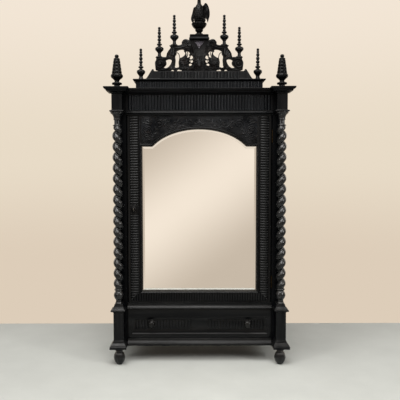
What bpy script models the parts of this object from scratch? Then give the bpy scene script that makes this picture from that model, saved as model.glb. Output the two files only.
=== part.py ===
"""Mirrored wardrobe with twisted columns, a long drawer, an arched mirror door and a pierced crest.

Run with: blender --background --python part.py
Metres, +Z up. The front faces -Y, and the origin is under the middle of the wardrobe, on the floor.
"""
import math

import bmesh
import bpy

# Clearances
GAP = 0.0003                  # between pieces that touch
DOOR_GAP = 0.003              # round the door and the drawer front
CUTTER_OVERRUN = 0.001        # a cutter runs this far past the face it opens
WELD = 0.002                  # pieces that are fused run this far into each other

# Plan of the carcass
POST_SPAN = 1.238             # over the outer faces of the two corner posts
POST_WIDTH = 0.0725
CARCASS_DEPTH = 0.610         # front of the posts to the back
SETBACK = 0.090               # front of the posts to the face of the carcass behind them
OPENING_WIDTH = 1.052         # between the corner stiles
CORNER_STILE_THICKNESS = 0.034
SIDE_INSET = 0.015            # carcass side behind the outer face of the posts
SIDE_THICKNESS = 0.022
BACK_POST_WIDTH = 0.060
BACK_POST_THICKNESS = 0.040
BACK_PANEL_THICKNESS = 0.012
BACK_PANEL_INSET = 0.023
BACK_BOARD_COUNT = 9
BACK_BOARD_GROOVE = 0.003
BOARD_THICKNESS = 0.018

# Heights, from the floor up
FOOT_HEIGHT = 0.121
BASE_BLOCK_FACE = 0.0195
BASE_BLOCK_HEIGHT = 0.061
PEDESTAL_HEIGHT = 0.210
PEDESTAL_CAP_HEIGHT = 0.052
COLUMN_HEIGHT = 1.371
UPPER_BLOCK_HEIGHT = 0.127
CORNICE_HEIGHT = 0.045
ATTIC_HEIGHT = 0.072
PODIUM_HEIGHT = 0.0615
PODIUM_LIP_HEIGHT = 0.014

# Mouldings
CORNICE_REACH = 0.050
BASE_BLOCK_REACH = 0.027
BASE_BLOCK_INNER_REACH = 0.020
PEDESTAL_LIP_REACH = 0.018
BLOCK_LIP_REACH = 0.014
RAIL_NOSE_REACH = 0.020       # rails in front of the carcass face
PLINTH_HEIGHT = 0.052
WAIST_RAIL_HEIGHT = 0.045
HEAD_RAIL_HEIGHT = 0.032

# Ripple mouldings
REED_PITCH = 0.0186
REED_DEPTH = 0.007
REED_SEGMENTS = 2
FRIEZE_REED_PITCH = 0.0209
FRIEZE_MARGIN = 0.0125
REED_SINK = 0.003             # a ripple strip is let into its board
REED_BED = 0.0005             # hollows of a ripple strip above the face of its board

# Feet and columns
FOOT_RADIUS = 0.041
FOOT_LOBES = 8
COLUMN_SIDES = 10
TWIST_RADIUS = 0.0283
TWIST_OFFSET = 0.0084
TWIST_PITCH = 0.0756
TWIST_STEPS = 6               # rings in a turn
COLUMN_BASE_RADIUS = 0.036
COLUMN_CAPITAL_RADIUS = 0.049
COLUMN_BASE_HEIGHT = 0.110
COLUMN_CAPITAL_HEIGHT = 0.101

# Door
DOOR_THICKNESS = 0.028
DOOR_RECESS = 0.005           # door face behind the carcass face
DOOR_BOTTOM_RAIL = 0.080
MIRROR_HALF_WIDTH = 0.4175
SHOULDER_DROP = 0.2192        # from the top of the door down to the mirror's shoulders
ARCH_HALF_WIDTH = 0.331
ARCH_NIB = 0.012              # level part of the shoulder inside the arch's foot
ARCH_SPRING = 0.010           # foot of the arch above the shoulder
ARCH_AXIS_WIDE = 0.396        # half axes of the arch's ellipse
ARCH_AXIS_TALL = 0.252
ARCH_POINTS = 12
REBATE_WIDTH = 0.010
FRAME_LIP = 0.014             # wood in front of the glass
GLASS_THICKNESS = 0.005
GLASS_BEVEL = 0.019
MIRROR_BACK_THICKNESS = 0.006
BEAD_WIDTH = 0.013
BEAD_HEIGHT = 0.007
BEAD_INSET = 0.002            # from the sight line
RIPPLE_INNER = 0.442          # ripple band on the door stiles, from the middle of the door
RIPPLE_OUTER = 0.508
LOCK_BLOCK_HEIGHT = 0.077
LOCK_BACKSET = 0.0485

# Lock, key and bolt
LOCK_CASE_WIDTH = 0.068
LOCK_CASE_HEIGHT = 0.080
LOCK_CASE_THICKNESS = 0.016
LOCK_WALL = 0.0015
BOLT_HEIGHT = 0.012
BOLT_THICKNESS = 0.006
BOLT_LENGTH = 0.050
BOLT_SLOT_CLEARANCE = 0.0005
BOLT_ABOVE_BIT = 0.002
CASE_FROM_EDGE = 0.0015
KEY_SHANK_RADIUS = 0.003
KEYHOLE_CLEARANCE = 0.0004
KEY_BIT_REACH = 0.011
KEY_BIT_WIDTH = 0.007
KEY_BIT_THICKNESS = 0.0025
KEY_STAND_OUT = 0.026         # from the escutcheon to the far side of the bow
KEY_BOW_HEIGHT = 0.026
KEY_BOW_THICKNESS = 0.0035
ESCUTCHEON_WIDTH = 0.040
ESCUTCHEON_HEIGHT = 0.058
ESCUTCHEON_THICKNESS = 0.006

# Hinges
HINGE_RADIUS = 0.004
HINGE_PIN_RADIUS = 0.002
HINGE_BORE_CLEARANCE = 0.0003
HINGE_HEIGHT = 0.090
HINGE_LEAF = 0.001
HINGE_LEAF_DEPTH = 0.030
HINGE_STAND_OFF = 0.0045      # axis in front of the carcass face
HINGE_FROM_END = 0.150

# Drawer
DRAWER_FRONT_THICKNESS = 0.026
DRAWER_SIDE_THICKNESS = 0.012
DRAWER_SIDE_INSET = 0.007
DRAWER_SIDE_HEIGHT = 0.160
DRAWER_BACK_DROP = 0.010      # back below the top of the sides
DRAWER_LIFT = 0.006           # side above the bottom edge of the front
DRAWER_BOTTOM_THICKNESS = 0.007
DRAWER_BOTTOM_RAISE = 0.006
DRAWER_DEPTH = 0.455
DRAWER_LEDGE = 0.004          # border of the front ahead of the door's face
DRAWER_FRAME_SIDE = 0.024     # flat border round the sunk field
DRAWER_FRAME_TOP = 0.060
DRAWER_FRAME_BOTTOM = 0.020
DRAWER_FIELD_SINK = 0.007
DRAWER_FIELD_BEVEL = 0.010
DRAWER_REED_DROP = 0.026      # from the top edge of the field to the reeds
DRAWER_REED_HEIGHT = 0.064
DRAWER_REED_OUTER = 0.470
DRAWER_REED_INNER = 0.064
KNOB_SPACING = 0.700
KNOB_RADIUS = 0.024
KNOB_LENGTH = 0.044
KNOB_ROSE_RADIUS = 0.031
KNOB_RISE = 0.007             # above the middle of the reeds
RUNNER_SEAT = 0.020           # width of the runner under the drawer side
RUNNER_GUIDE_HEIGHT = 0.020
RUNNER_CLEARANCE = 0.0006

# Fittings inside
SHELF_DROP = 0.302            # from the cornice down to the underside of the hat shelf
SHELF_DEPTH = 0.340
HOUSING_DEPTH = 0.006
RAIL_DROP = 0.080             # from the underside of the hat shelf down to the middle of the rail
RAIL_RADIUS = 0.014
RAIL_SOCKET_DEPTH = 0.010
SIDE_FIELD_DEPTH = 0.008
SIDE_FRAME_WIDTH = 0.070

# Attic, podium and crest
ATTIC_WIDTH = 0.914
ATTIC_DEPTH = 0.270
ATTIC_SETBACK = 0.115         # behind the front of the posts
ATTIC_LIP = 0.020
ATTIC_REED_WIDTH = 0.860
PODIUM_WIDTH = 0.776
PODIUM_TOP_WIDTH = 0.682
PODIUM_DEPTH = 0.110
PODIUM_SETBACK = 0.138
PODIUM_REED_WIDTH = 0.576
CREST_SETBACK = 0.152
CREST_THICKNESS = 0.026
CREST_HALF_WIDTH = 0.321
CREST_GRID = (321, 222)       # the crest is drawn on a grid, from the middle out and from the podium up
CONSOLE_PROUD = 0.010
ROSETTE_PROUD = 0.006
VOLUTE_PROUD = 0.005
CURL_PROUD = 0.004
SLAB_WIDTH = 0.146
SLAB_DEPTH = 0.090
SLAB_HEIGHT = 0.038
SLAB_RISE = 0.222             # bottom of the slab above the podium
SEAT_WIDTH = 0.044            # platforms of the finials on the crest
SEAT_THICKNESS = 0.006
VOLUTE_SEAT = (290, 106)      # on the crest's grid, as are the next
ARM_SEAT = (181, 192)
ROSETTE = (108, 62)
ROSETTE_RADIUS = 0.033
VOLUTE = (286, 58)
VOLUTE_RADIUS = 0.030
CURL = (101, 212)
CURL_RADIUS = 0.015
URN_HEIGHT = 0.095
URN_RADIUS = 0.055
BIRD_RISE = 0.290              # from the urn's foot to the top of the head
WING_THICKNESS = 0.012

# Finials
SLENDER_HEIGHT = 0.214
OUTER_FINIAL_HEIGHT = 0.228
SLENDER_RADIUS = 0.0312
SLENDER_FOOT = 0.019
SLENDER_STEPS = 7
OUTER_FINIAL_X = 0.425
LARGE_HEIGHT = 0.232
LARGE_RADIUS = 0.043
LARGE_STEPS = 10

# Places that follow from the sizes
total_depth = CARCASS_DEPTH + CORNICE_REACH
back_y = total_depth / 2
post_front = back_y - CARCASS_DEPTH
face_y = post_front + SETBACK
post_out = POST_SPAN / 2
post_in = post_out - POST_WIDTH
post_x = post_out - POST_WIDTH / 2
column_y = post_front + POST_WIDTH / 2
opening = OPENING_WIDTH / 2
side_out = post_out - SIDE_INSET
side_in = side_out - SIDE_THICKNESS
stile_back = face_y + CORNER_STILE_THICKNESS
back_post_front = back_y - BACK_POST_THICKNESS
back_post_in = side_out - BACK_POST_WIDTH
board_half = side_in - GAP
board_front = stile_back + GAP
board_back = back_post_front - GAP
rail_half = opening - GAP

base_top = FOOT_HEIGHT + BASE_BLOCK_HEIGHT
waist_z = base_top + PEDESTAL_HEIGHT
column_z = waist_z + PEDESTAL_CAP_HEIGHT
block_z = column_z + COLUMN_HEIGHT
cornice_z = block_z + UPPER_BLOCK_HEIGHT
attic_z = cornice_z + CORNICE_HEIGHT
podium_z = attic_z + ATTIC_HEIGHT
crest_z = podium_z + PODIUM_HEIGHT
plinth_top = FOOT_HEIGHT + PLINTH_HEIGHT
waist_top = waist_z + WAIST_RAIL_HEIGHT
head_z = block_z - BLOCK_LIP_REACH - GAP
head_top = head_z + HEAD_RAIL_HEIGHT

door_half = opening - DOOR_GAP
door_face = face_y + DOOR_RECESS
door_back = door_face + DOOR_THICKNESS
ripple_face = door_face - REED_BED - REED_DEPTH
door_z = waist_top + DOOR_GAP
door_top = head_z - DOOR_GAP
sight_z = door_z + DOOR_BOTTOM_RAIL
shoulder_z = door_top - SHOULDER_DROP
lip_back = door_face + FRAME_LIP
hinge_x = opening - DOOR_GAP / 2
hinge_y = face_y - HINGE_STAND_OFF
lock_x = -(door_half - LOCK_BACKSET)
lock_z = (door_z + door_top) / 2

drawer_z = plinth_top + DOOR_GAP
drawer_top = waist_z - DOOR_GAP
drawer_half = opening - DOOR_GAP / 2
drawer_face = door_face - DRAWER_LEDGE
drawer_front_back = drawer_face + DRAWER_FRONT_THICKNESS
drawer_back = drawer_front_back + DRAWER_DEPTH

attic_front = post_front + ATTIC_SETBACK
podium_front = post_front + PODIUM_SETBACK
crest_front = post_front + CREST_SETBACK
crest_y = crest_front + CREST_THICKNESS / 2
crest_base = crest_z + GAP

case_front = door_back + GAP
case_back = case_front + LOCK_CASE_THICKNESS
case_left = -door_half + CASE_FROM_EDGE
bolt_z = lock_z + KEY_BIT_REACH + BOLT_ABOVE_BIT + BOLT_HEIGHT / 2
bolt_y = case_front + LOCK_WALL + GAP + BOLT_THICKNESS / 2
field_face = drawer_face + DRAWER_FIELD_SINK
field_top = drawer_top - DRAWER_FRAME_TOP
reed_top = field_top - DRAWER_REED_DROP
knob_z = reed_top - DRAWER_REED_HEIGHT / 2 + KNOB_RISE
shelf_z = cornice_z - SHELF_DROP
rail_y = (board_front + board_back) / 2
rail_z = shelf_z - RAIL_DROP

FACE_AXES = {
    "plan": (0.0, 0.0, 0.0),
    "front": (math.pi / 2, 0.0, 0.0),
    "side": (math.pi / 2, 0.0, math.pi / 2),
}
ROD_AXES = {
    "X": (0.0, math.pi / 2, 0.0),
    "Y": (-math.pi / 2, 0.0, 0.0),
    "Z": (0.0, 0.0, 0.0),
}


def clear_scene():
    for existing in list(bpy.data.objects):
        bpy.data.objects.remove(existing, do_unlink=True)


def make_collection(name):
    group = bpy.data.collections.new(name)
    bpy.context.scene.collection.children.link(group)
    return group


clear_scene()
wardrobe = make_collection("mirrored_wardrobe")
cutters = make_collection("cutters")


# Materials
def finish(name, colour, roughness, metallic=0.0):
    material = bpy.data.materials.new(name)
    material.use_nodes = True
    shader = material.node_tree.nodes["Principled BSDF"]
    shader.inputs["Base Color"].default_value = (*colour, 1.0)
    shader.inputs["Roughness"].default_value = roughness
    shader.inputs["Metallic"].default_value = metallic
    material.diffuse_color = (*colour, 1.0)
    return material


def dark_wood(name):
    return finish(name + "_ebonised_wood", (0.012, 0.011, 0.010), 0.35)


def plain_wood(name):
    return finish(name + "_plain_wood", (0.20, 0.11, 0.055), 0.6)


def steel(name):
    return finish(name + "_steel", (0.35, 0.34, 0.32), 0.35, 1.0)


def brass(name):
    return finish(name + "_brass", (0.55, 0.40, 0.16), 0.35, 1.0)


# Ways to make a solid
def add(name, mesh, material, location=(0.0, 0.0, 0.0), group=None):
    piece = bpy.data.objects.new(name, mesh)
    piece.location = location
    (group or wardrobe).objects.link(piece)
    if material:
        mesh.materials.append(material)
    return piece


def box(name, low, high, material, group=None):
    """A board with its corners at low and high, and its origin in the middle."""
    size = [b - a for a, b in zip(low, high)]
    middle = [(a + b) / 2 for a, b in zip(low, high)]
    shape = bmesh.new()
    bmesh.ops.create_cube(shape, size=1.0)
    bmesh.ops.scale(shape, vec=size, verts=shape.verts)
    mesh = bpy.data.meshes.new(name)
    shape.to_mesh(mesh)
    shape.free()
    return add(name, mesh, material, middle, group)


def rod(name, radius, start, length, axis, material, sides=10, group=None):
    """A round bar that starts at a point and runs along X, Y or Z."""
    shape = bmesh.new()
    bmesh.ops.create_cone(shape, cap_ends=True, segments=sides, radius1=radius, radius2=radius, depth=length)
    bmesh.ops.translate(shape, vec=(0.0, 0.0, length / 2), verts=shape.verts)
    mesh = bpy.data.meshes.new(name)
    shape.to_mesh(mesh)
    shape.free()
    piece = add(name, mesh, material, start, group)
    piece.rotation_euler = ROD_AXES[axis]
    return piece


def flat(name, outlines, thickness, face, start, material, group=None):
    """A flat outline, and any holes in it, made thick from start along the axis that it faces."""
    curve = bpy.data.curves.new(name, "CURVE")
    curve.dimensions = "2D"
    curve.fill_mode = "BOTH"
    curve.extrude = thickness / 2
    for outline in outlines:
        spline = curve.splines.new("POLY")
        spline.points.add(len(outline) - 1)
        for point, (u, v) in zip(spline.points, outline):
            point.co = (u, v, 0.0, 1.0)
        spline.use_cyclic_u = True
        spline.use_smooth = False
    middle = start + thickness / 2
    place = {"plan": (0.0, 0.0, middle), "front": (0.0, middle, 0.0), "side": (middle, 0.0, 0.0)}[face]
    piece = bpy.data.objects.new(name, curve)
    piece.location = place
    piece.rotation_euler = FACE_AXES[face]
    (group or wardrobe).objects.link(piece)
    if material:
        curve.materials.append(material)
    return piece


def as_mesh(piece):
    """The same object as a mesh with its caps welded on, so that it can be cut or joined."""
    bpy.context.view_layer.update()
    name = piece.name
    graph = bpy.context.evaluated_depsgraph_get()
    mesh = bpy.data.meshes.new_from_object(piece.evaluated_get(graph))
    shape = bmesh.new()
    shape.from_mesh(mesh)
    bmesh.ops.remove_doubles(shape, verts=shape.verts, dist=0.00001)
    bmesh.ops.recalc_face_normals(shape, faces=shape.faces)
    shape.to_mesh(mesh)
    shape.free()
    group = piece.users_collection[0]
    place = piece.matrix_world.copy()
    bpy.data.objects.remove(piece, do_unlink=True)
    solid = bpy.data.objects.new(name, mesh)
    solid.matrix_world = place
    group.objects.link(solid)
    return solid


def combine(piece, other, operation, in_line=False):
    """Cuts other out of piece, or joins it on, with a Boolean modifier. in_line is for points in a row."""
    for group in list(other.users_collection):
        group.objects.unlink(other)
    cutters.objects.link(other)
    other.hide_render = True
    other.display_type = "WIRE"
    change = piece.modifiers.new(operation.lower() + " " + other.name, "BOOLEAN")
    change.operation = operation
    change.object = other
    change.use_self = in_line
    return piece


def cut(piece, other):
    return combine(piece, other, "DIFFERENCE")


def join(piece, other):
    return combine(piece, other, "UNION")


def join_reeds(piece, strip):
    return combine(piece, as_mesh(strip), "UNION", in_line=True)


def finish_loft(name, shape, material, location):
    bmesh.ops.recalc_face_normals(shape, faces=shape.faces)
    mesh = bpy.data.meshes.new(name)
    shape.to_mesh(mesh)
    shape.free()
    return add(name, mesh, material, location)


def bridge(shape, lower, upper):
    count = len(lower)
    for i in range(count):
        j = (i + 1) % count
        shape.faces.new((lower[i], lower[j], upper[j], upper[i]))


def moved_corner(plan, reach, index, distance):
    """A corner of the plan when each side moves out by distance times its own reach."""
    count = len(plan)
    (px, py), (x, y), (nx, ny) = plan[index - 1], plan[index], plan[(index + 1) % count]
    before = math.hypot(x - px, y - py)
    after = math.hypot(nx - x, ny - y)
    ax, ay = (y - py) / before, (px - x) / before
    bx, by = (ny - y) / after, (x - nx) / after
    da, db = distance * reach[index - 1], distance * reach[index]
    cross = ax * by - ay * bx
    if abs(cross) < 1e-6:
        return x + ax * da, y + ay * da
    return x + (da * by - db * ay) / cross, y + (ax * db - bx * da) / cross


def moulded(name, plan, profile, material, face="plan", reach=None, closed=False, group=None):
    """A plan, counter-clockwise, carried up a profile of (projection, height) with mitred corners.

    reach holds one number for each side of the plan, from its corner to the next: 0 keeps a side flush.
    A closed profile makes a frame that is open in the middle.
    """
    reach = reach or [1.0] * len(plan)
    shape = bmesh.new()
    rings = []
    for projection, height in profile:
        corners = [moved_corner(plan, reach, i, projection) for i in range(len(plan))]
        rings.append([shape.verts.new((u, v, height)) for u, v in corners])
    for lower, upper in zip(rings, rings[1:]):
        bridge(shape, lower, upper)
    if closed:
        bridge(shape, rings[-1], rings[0])
    else:
        shape.faces.new(rings[0])
        shape.faces.new(rings[-1])
    piece = finish_loft(name, shape, material, (0.0, 0.0, 0.0))
    piece.rotation_euler = FACE_AXES[face]
    if group:
        wardrobe.objects.unlink(piece)
        group.objects.link(piece)
    return piece


def rectangle(low_u, high_u, low_v, high_v):
    return [(low_u, low_v), (high_u, low_v), (high_u, high_v), (low_u, high_v)]


def turned(name, profile, material, location, steps):
    """A turned piece: its outer side from top to bottom as (radius, height), swept round by a Screw."""
    mesh = bpy.data.meshes.new(name)
    points = [(radius, 0.0, height) for radius, height in profile]
    mesh.from_pydata(points, [(i, i + 1) for i in range(len(points) - 1)], [])
    piece = add(name, mesh, material, location)
    screw = piece.modifiers.new("turned", "SCREW")
    screw.steps = steps
    screw.render_steps = steps
    screw.use_merge_vertices = True
    screw.merge_threshold = 0.0001
    screw.use_smooth_shade = True
    return piece


def stacked(name, rings, sides, material, location, radius_of=None):
    """Level rings from the bottom up, each (height, radius, centre x, centre y), skinned and capped."""
    shape = bmesh.new()
    loops = []
    for height, radius, cx, cy in rings:
        loop = []
        for i in range(sides):
            angle = 2 * math.pi * i / sides
            r = radius_of(i, radius) if radius_of else radius
            loop.append(shape.verts.new((cx + r * math.cos(angle), cy + r * math.sin(angle), height)))
        loops.append(loop)
    for lower, upper in zip(loops, loops[1:]):
        bridge(shape, lower, upper)
    shape.faces.new(loops[0])
    shape.faces.new(loops[-1])
    piece = finish_loft(name, shape, material, location)
    piece.data.shade_smooth()
    piece.data.set_sharp_from_angle(angle=math.radians(45))
    return piece


def reeds(start, stop, pitch=REED_PITCH, depth=REED_DEPTH):
    """Points (along, proud) of a row of half-round reeds that fills start to stop."""
    count = max(1, round((stop - start) / pitch))
    width = (stop - start) / count
    points = []
    for i in range(count):
        for k in range(REED_SEGMENTS):
            angle = math.pi * k / REED_SEGMENTS
            along = start + width * (i + (1 - math.cos(angle)) / 2)
            points.append((along, depth * math.sin(angle)))
    points.append((stop, 0.0))
    return points


def reeded_strip(name, half, low, high, front, back, material, pitch=REED_PITCH, depth=REED_DEPTH):
    """A strip of upright reeds across the wardrobe, centred, its hollows at front."""
    face = [(x, front - REED_BED - proud) for x, proud in reeds(-half, half, pitch, depth)]
    return flat(name, [[(-half, back)] + face + [(half, back)]], high - low, "plan", low, material)


def circle(x, z, radius, points=16):
    angles = [2 * math.pi * i / points for i in range(points)]
    return [(x + radius * math.cos(a), z + radius * math.sin(a)) for a in angles]


def cove(width, height, start_width, start_height, points=4):
    """A hollow quarter moulding as (projection, height), from upright at its foot to level at its top."""
    angles = [math.pi / 2 * i / points for i in range(points + 1)]
    return [(start_width + width * (1 - math.cos(a)), start_height + height * math.sin(a)) for a in angles]


SIDES = (("left", -1), ("right", 1))


# Feet and posts
def front_foot(side, sign):
    name = "front_foot_" + side
    r = FOOT_RADIUS
    levels = ((0.0, 0.55), (0.10, 0.72), (0.28, 0.93), (0.47, 1.0),
              (0.66, 0.92), (0.82, 0.70), (0.90, 0.60), (1.0, 0.66))
    height = FOOT_HEIGHT - GAP
    rings = [(height * level, r * share, 0.0, 0.0) for level, share in levels]

    def gadrooned(index, radius):
        return radius * (1.0 if index % 2 == 0 else 0.93)

    stacked(name, rings, 2 * FOOT_LOBES, dark_wood(name), (sign * post_x, column_y, 0.0), gadrooned)


def back_post(side, sign):
    name = "back_post_" + side
    inner, outer = sorted((sign * back_post_in, sign * side_out))
    box(name, (inner, back_post_front, 0.0), (outer, back_y, cornice_z - GAP), dark_wood(name))


def post_plan(sign):
    """Plan of a square post and the reach of its sides: front, then round to the flush back."""
    inner, outer = sorted((sign * post_in, sign * post_out))
    return rectangle(inner, outer, post_front, face_y - GAP)


def post_reach(sign, inner_reach, outer_reach):
    share = inner_reach / outer_reach
    right, left = (1.0, share) if sign > 0 else (share, 1.0)
    return [1.0, right, 0.0, left]


def pedestal(side, sign):
    name = "pedestal_" + side
    reach = BASE_BLOCK_REACH
    lip = PEDESTAL_LIP_REACH
    rise = BASE_BLOCK_HEIGHT - BASE_BLOCK_FACE
    low = FOOT_HEIGHT
    cap = PEDESTAL_CAP_HEIGHT
    base = [(reach, low), (reach, low + BASE_BLOCK_FACE)]
    base += [(reach * (1 - share), low + BASE_BLOCK_FACE + rise * level)
             for share, level in ((0.10, 0.12), (0.42, 0.36), (0.70, 0.60), (0.90, 0.85), (1.0, 1.0))]
    profile = base + [(0.0, waist_z - 0.08 * cap), (0.22 * lip, waist_z)]
    profile += [(lip, waist_z + 0.02 * cap), (lip, waist_z + 0.20 * cap)]
    profile += [(0.55 * lip, waist_z + 0.38 * cap), (0.12 * lip, waist_z + 0.56 * cap)]
    profile += [(-0.30 * lip, waist_z + 0.78 * cap), (-0.42 * lip, column_z - GAP)]
    moulded(name, post_plan(sign), profile, dark_wood(name),
            reach=post_reach(sign, BASE_BLOCK_INNER_REACH, BASE_BLOCK_REACH))


def column(side, sign):
    """A turned base and capital with a one-start twist between them, wound the other way on each side."""
    name = "column_" + side
    top = COLUMN_HEIGHT - 2 * GAP
    base = COLUMN_BASE_HEIGHT
    capital = top - COLUMN_CAPITAL_HEIGHT
    turned_base = ((0.0, 0.74), (0.14, 0.62), (0.24, 0.62), (0.35, 0.79), (0.45, 0.96), (0.56, 1.0),
                   (0.67, 0.96), (0.78, 0.79), (0.87, 0.68), (0.91, 0.86), (0.98, 0.86))
    rings = [(base * level, COLUMN_BASE_RADIUS * share, 0.0, 0.0) for level, share in turned_base]
    turns = (capital - base) / TWIST_PITCH
    count = round(turns * TWIST_STEPS)
    for i in range(count + 1):
        height = base + (capital - base) * i / count
        fade = min(1.0, i / 3, (count - i) / 3)
        angle = math.pi / 2 * (1 + sign) + sign * 2 * math.pi * (height - base) / TWIST_PITCH
        radius = TWIST_RADIUS - (1 - fade) * 0.5 * TWIST_OFFSET
        shift = TWIST_OFFSET * fade
        rings.append((height, radius, shift * math.cos(angle), shift * math.sin(angle)))
    turned_capital = ((0.05, 0.64), (0.11, 0.64), (0.14, 0.48), (0.42, 0.46), (0.48, 0.53), (0.60, 0.55),
                      (0.76, 0.67), (0.88, 0.84), (1.0, 1.0))
    rings += [(capital + COLUMN_CAPITAL_HEIGHT * level, COLUMN_CAPITAL_RADIUS * share, 0.0, 0.0)
              for level, share in turned_capital]
    stacked(name, rings, COLUMN_SIDES, dark_wood(name), (sign * post_x, column_y, column_z + GAP))


def upper_block(side, sign):
    name = "upper_block_" + side
    lip = BLOCK_LIP_REACH
    low = block_z + GAP
    profile = [(0.85 * lip, low), (lip, low + 0.20 * lip), (lip, low + 0.65 * lip),
               (0.15 * lip, low + 0.85 * lip), (0.0, low + 1.05 * lip), (0.0, cornice_z - GAP)]
    moulded(name, post_plan(sign), profile, dark_wood(name), reach=[1.0, 1.0, 0.0, 1.0])


# Carcass
def corner_stile(side, sign):
    name = "corner_stile_" + side
    inner, outer = sorted((sign * opening, sign * side_out))
    box(name, (inner, face_y, FOOT_HEIGHT), (outer, stile_back, cornice_z - GAP), dark_wood(name))


def moulded_rail(name, section):
    """A rail between the corner stiles, with its moulded section in (depth, height)."""
    return flat(name, [section], 2 * rail_half, "side", -rail_half, dark_wood(name))


def plinth_rail():
    low, high = FOOT_HEIGHT, plinth_top
    nose = face_y - RAIL_NOSE_REACH
    section = [(stile_back, low), (nose, low), (nose, low + 0.26 * PLINTH_HEIGHT),
               (nose + 0.25 * RAIL_NOSE_REACH, low + 0.37 * PLINTH_HEIGHT),
               (nose + 0.60 * RAIL_NOSE_REACH, low + 0.62 * PLINTH_HEIGHT),
               (nose + 0.90 * RAIL_NOSE_REACH, low + 0.88 * PLINTH_HEIGHT),
               (face_y, high), (stile_back, high)]
    moulded_rail("plinth_rail", section)


def waist_rail():
    low, high = waist_z, waist_top
    nose = face_y - RAIL_NOSE_REACH
    section = [(stile_back, low), (nose + 0.65 * RAIL_NOSE_REACH, low),
               (nose, low + 0.10 * WAIST_RAIL_HEIGHT), (nose, low + 0.20 * WAIST_RAIL_HEIGHT),
               (nose + 0.35 * RAIL_NOSE_REACH, low + 0.34 * WAIST_RAIL_HEIGHT),
               (nose + 0.75 * RAIL_NOSE_REACH, low + 0.52 * WAIST_RAIL_HEIGHT),
               (nose + 0.85 * RAIL_NOSE_REACH, low + 0.66 * WAIST_RAIL_HEIGHT),
               (nose + 0.85 * RAIL_NOSE_REACH, high), (stile_back, high)]
    moulded_rail("waist_rail", section)


def head_rail():
    low, high = head_z, head_top
    nose = face_y - RAIL_NOSE_REACH
    section = [(stile_back, low), (face_y + 0.25 * RAIL_NOSE_REACH, low),
               (face_y + 0.25 * RAIL_NOSE_REACH, low + 0.35 * HEAD_RAIL_HEIGHT),
               (nose + 0.25 * RAIL_NOSE_REACH, low + 0.50 * HEAD_RAIL_HEIGHT),
               (nose, low + 0.66 * HEAD_RAIL_HEIGHT), (nose, low + 0.86 * HEAD_RAIL_HEIGHT),
               (nose + 0.60 * RAIL_NOSE_REACH, high), (stile_back, high)]
    moulded_rail("head_rail", section)


def frieze():
    front = face_y + 0.5 * DOOR_RECESS
    reeded_half = rail_half - FRIEZE_MARGIN
    row = [(x, front - proud) for x, proud in reeds(-reeded_half, reeded_half, FRIEZE_REED_PITCH)]
    ends = [(rail_half, front), (rail_half, stile_back)]
    outline = [(-rail_half, stile_back), (-rail_half, front)] + row + ends
    flat("frieze", [outline], cornice_z - head_top - 2 * GAP, "plan", head_top + GAP, dark_wood("frieze"))


def side_panel(side, sign):
    """A framed side: two sunk fields outside, a housing for the shelf and a socket for the rail inside."""
    name = "side_panel_" + side
    inner, outer = sorted((sign * side_in, sign * side_out))
    low, high = (inner, board_front, FOOT_HEIGHT), (outer, board_back, cornice_z - GAP)
    panel = box(name, low, high, dark_wood(name))
    outside, inside = sign * side_out, sign * side_in
    fields = (("lower", FOOT_HEIGHT + SIDE_FRAME_WIDTH, waist_z),
              ("upper", waist_top + SIDE_FRAME_WIDTH / 2, cornice_z - SIDE_FRAME_WIDTH))
    for label, low, high in fields:
        x0, x1 = sorted((outside - sign * SIDE_FIELD_DEPTH, outside + sign * SIDE_FIELD_DEPTH))
        field = box(f"{label}_field_{side}", (x0, board_front + SIDE_FRAME_WIDTH, low),
                    (x1, board_back - SIDE_FRAME_WIDTH, high), None)
        cut(panel, field)
    x0, x1 = sorted((inside - sign * HOUSING_DEPTH, inside + sign * HOUSING_DEPTH))
    housing = box("shelf_housing_" + side, (x0, board_back - SHELF_DEPTH - GAP, shelf_z - GAP),
                  (x1, board_back + SIDE_THICKNESS, shelf_z + BOARD_THICKNESS + GAP), None)
    cut(panel, housing)
    x0, x1 = sorted((inside - sign * CUTTER_OVERRUN, inside + sign * RAIL_SOCKET_DEPTH))
    start = (x0, rail_y, rail_z)
    cut(panel, rod("rail_socket_" + side, RAIL_RADIUS + GAP, start, x1 - x0, "X", None, 16))


def back_panel():
    """Upright boards with a V joint between each two, between the back posts."""
    half = back_post_in - GAP
    inner = back_y - BACK_PANEL_INSET - BACK_PANEL_THICKNESS
    outer = inner + BACK_PANEL_THICKNESS
    groove = BACK_BOARD_GROOVE
    outline = [(-half, inner), (half, inner), (half, outer)]
    for i in range(BACK_BOARD_COUNT - 1, 0, -1):
        x = -half + 2 * half * i / BACK_BOARD_COUNT
        outline += [(x + groove, outer), (x, outer - groove), (x - groove, outer)]
    outline.append((-half, outer))
    height = cornice_z - FOOT_HEIGHT - GAP
    flat("back_panel", [outline], height, "plan", FOOT_HEIGHT, plain_wood("back_panel"))


def carcass_boards():
    box("bottom_board", (-board_half, board_front, FOOT_HEIGHT),
        (board_half, board_back, FOOT_HEIGHT + BOARD_THICKNESS), plain_wood("bottom_board"))
    box("wardrobe_floor", (-board_half, board_front, waist_top - BOARD_THICKNESS),
        (board_half, board_back, waist_top), plain_wood("wardrobe_floor"))
    shelf_half = side_in + HOUSING_DEPTH - GAP
    box("hat_shelf", (-shelf_half, board_back - SHELF_DEPTH, shelf_z),
        (shelf_half, board_back, shelf_z + BOARD_THICKNESS), plain_wood("hat_shelf"))
    rail_reach = side_in + RAIL_SOCKET_DEPTH - GAP
    rod("hanging_rail", RAIL_RADIUS, (-rail_reach, rail_y, rail_z), 2 * rail_reach, "X",
        plain_wood("hanging_rail"), 16)


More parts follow.
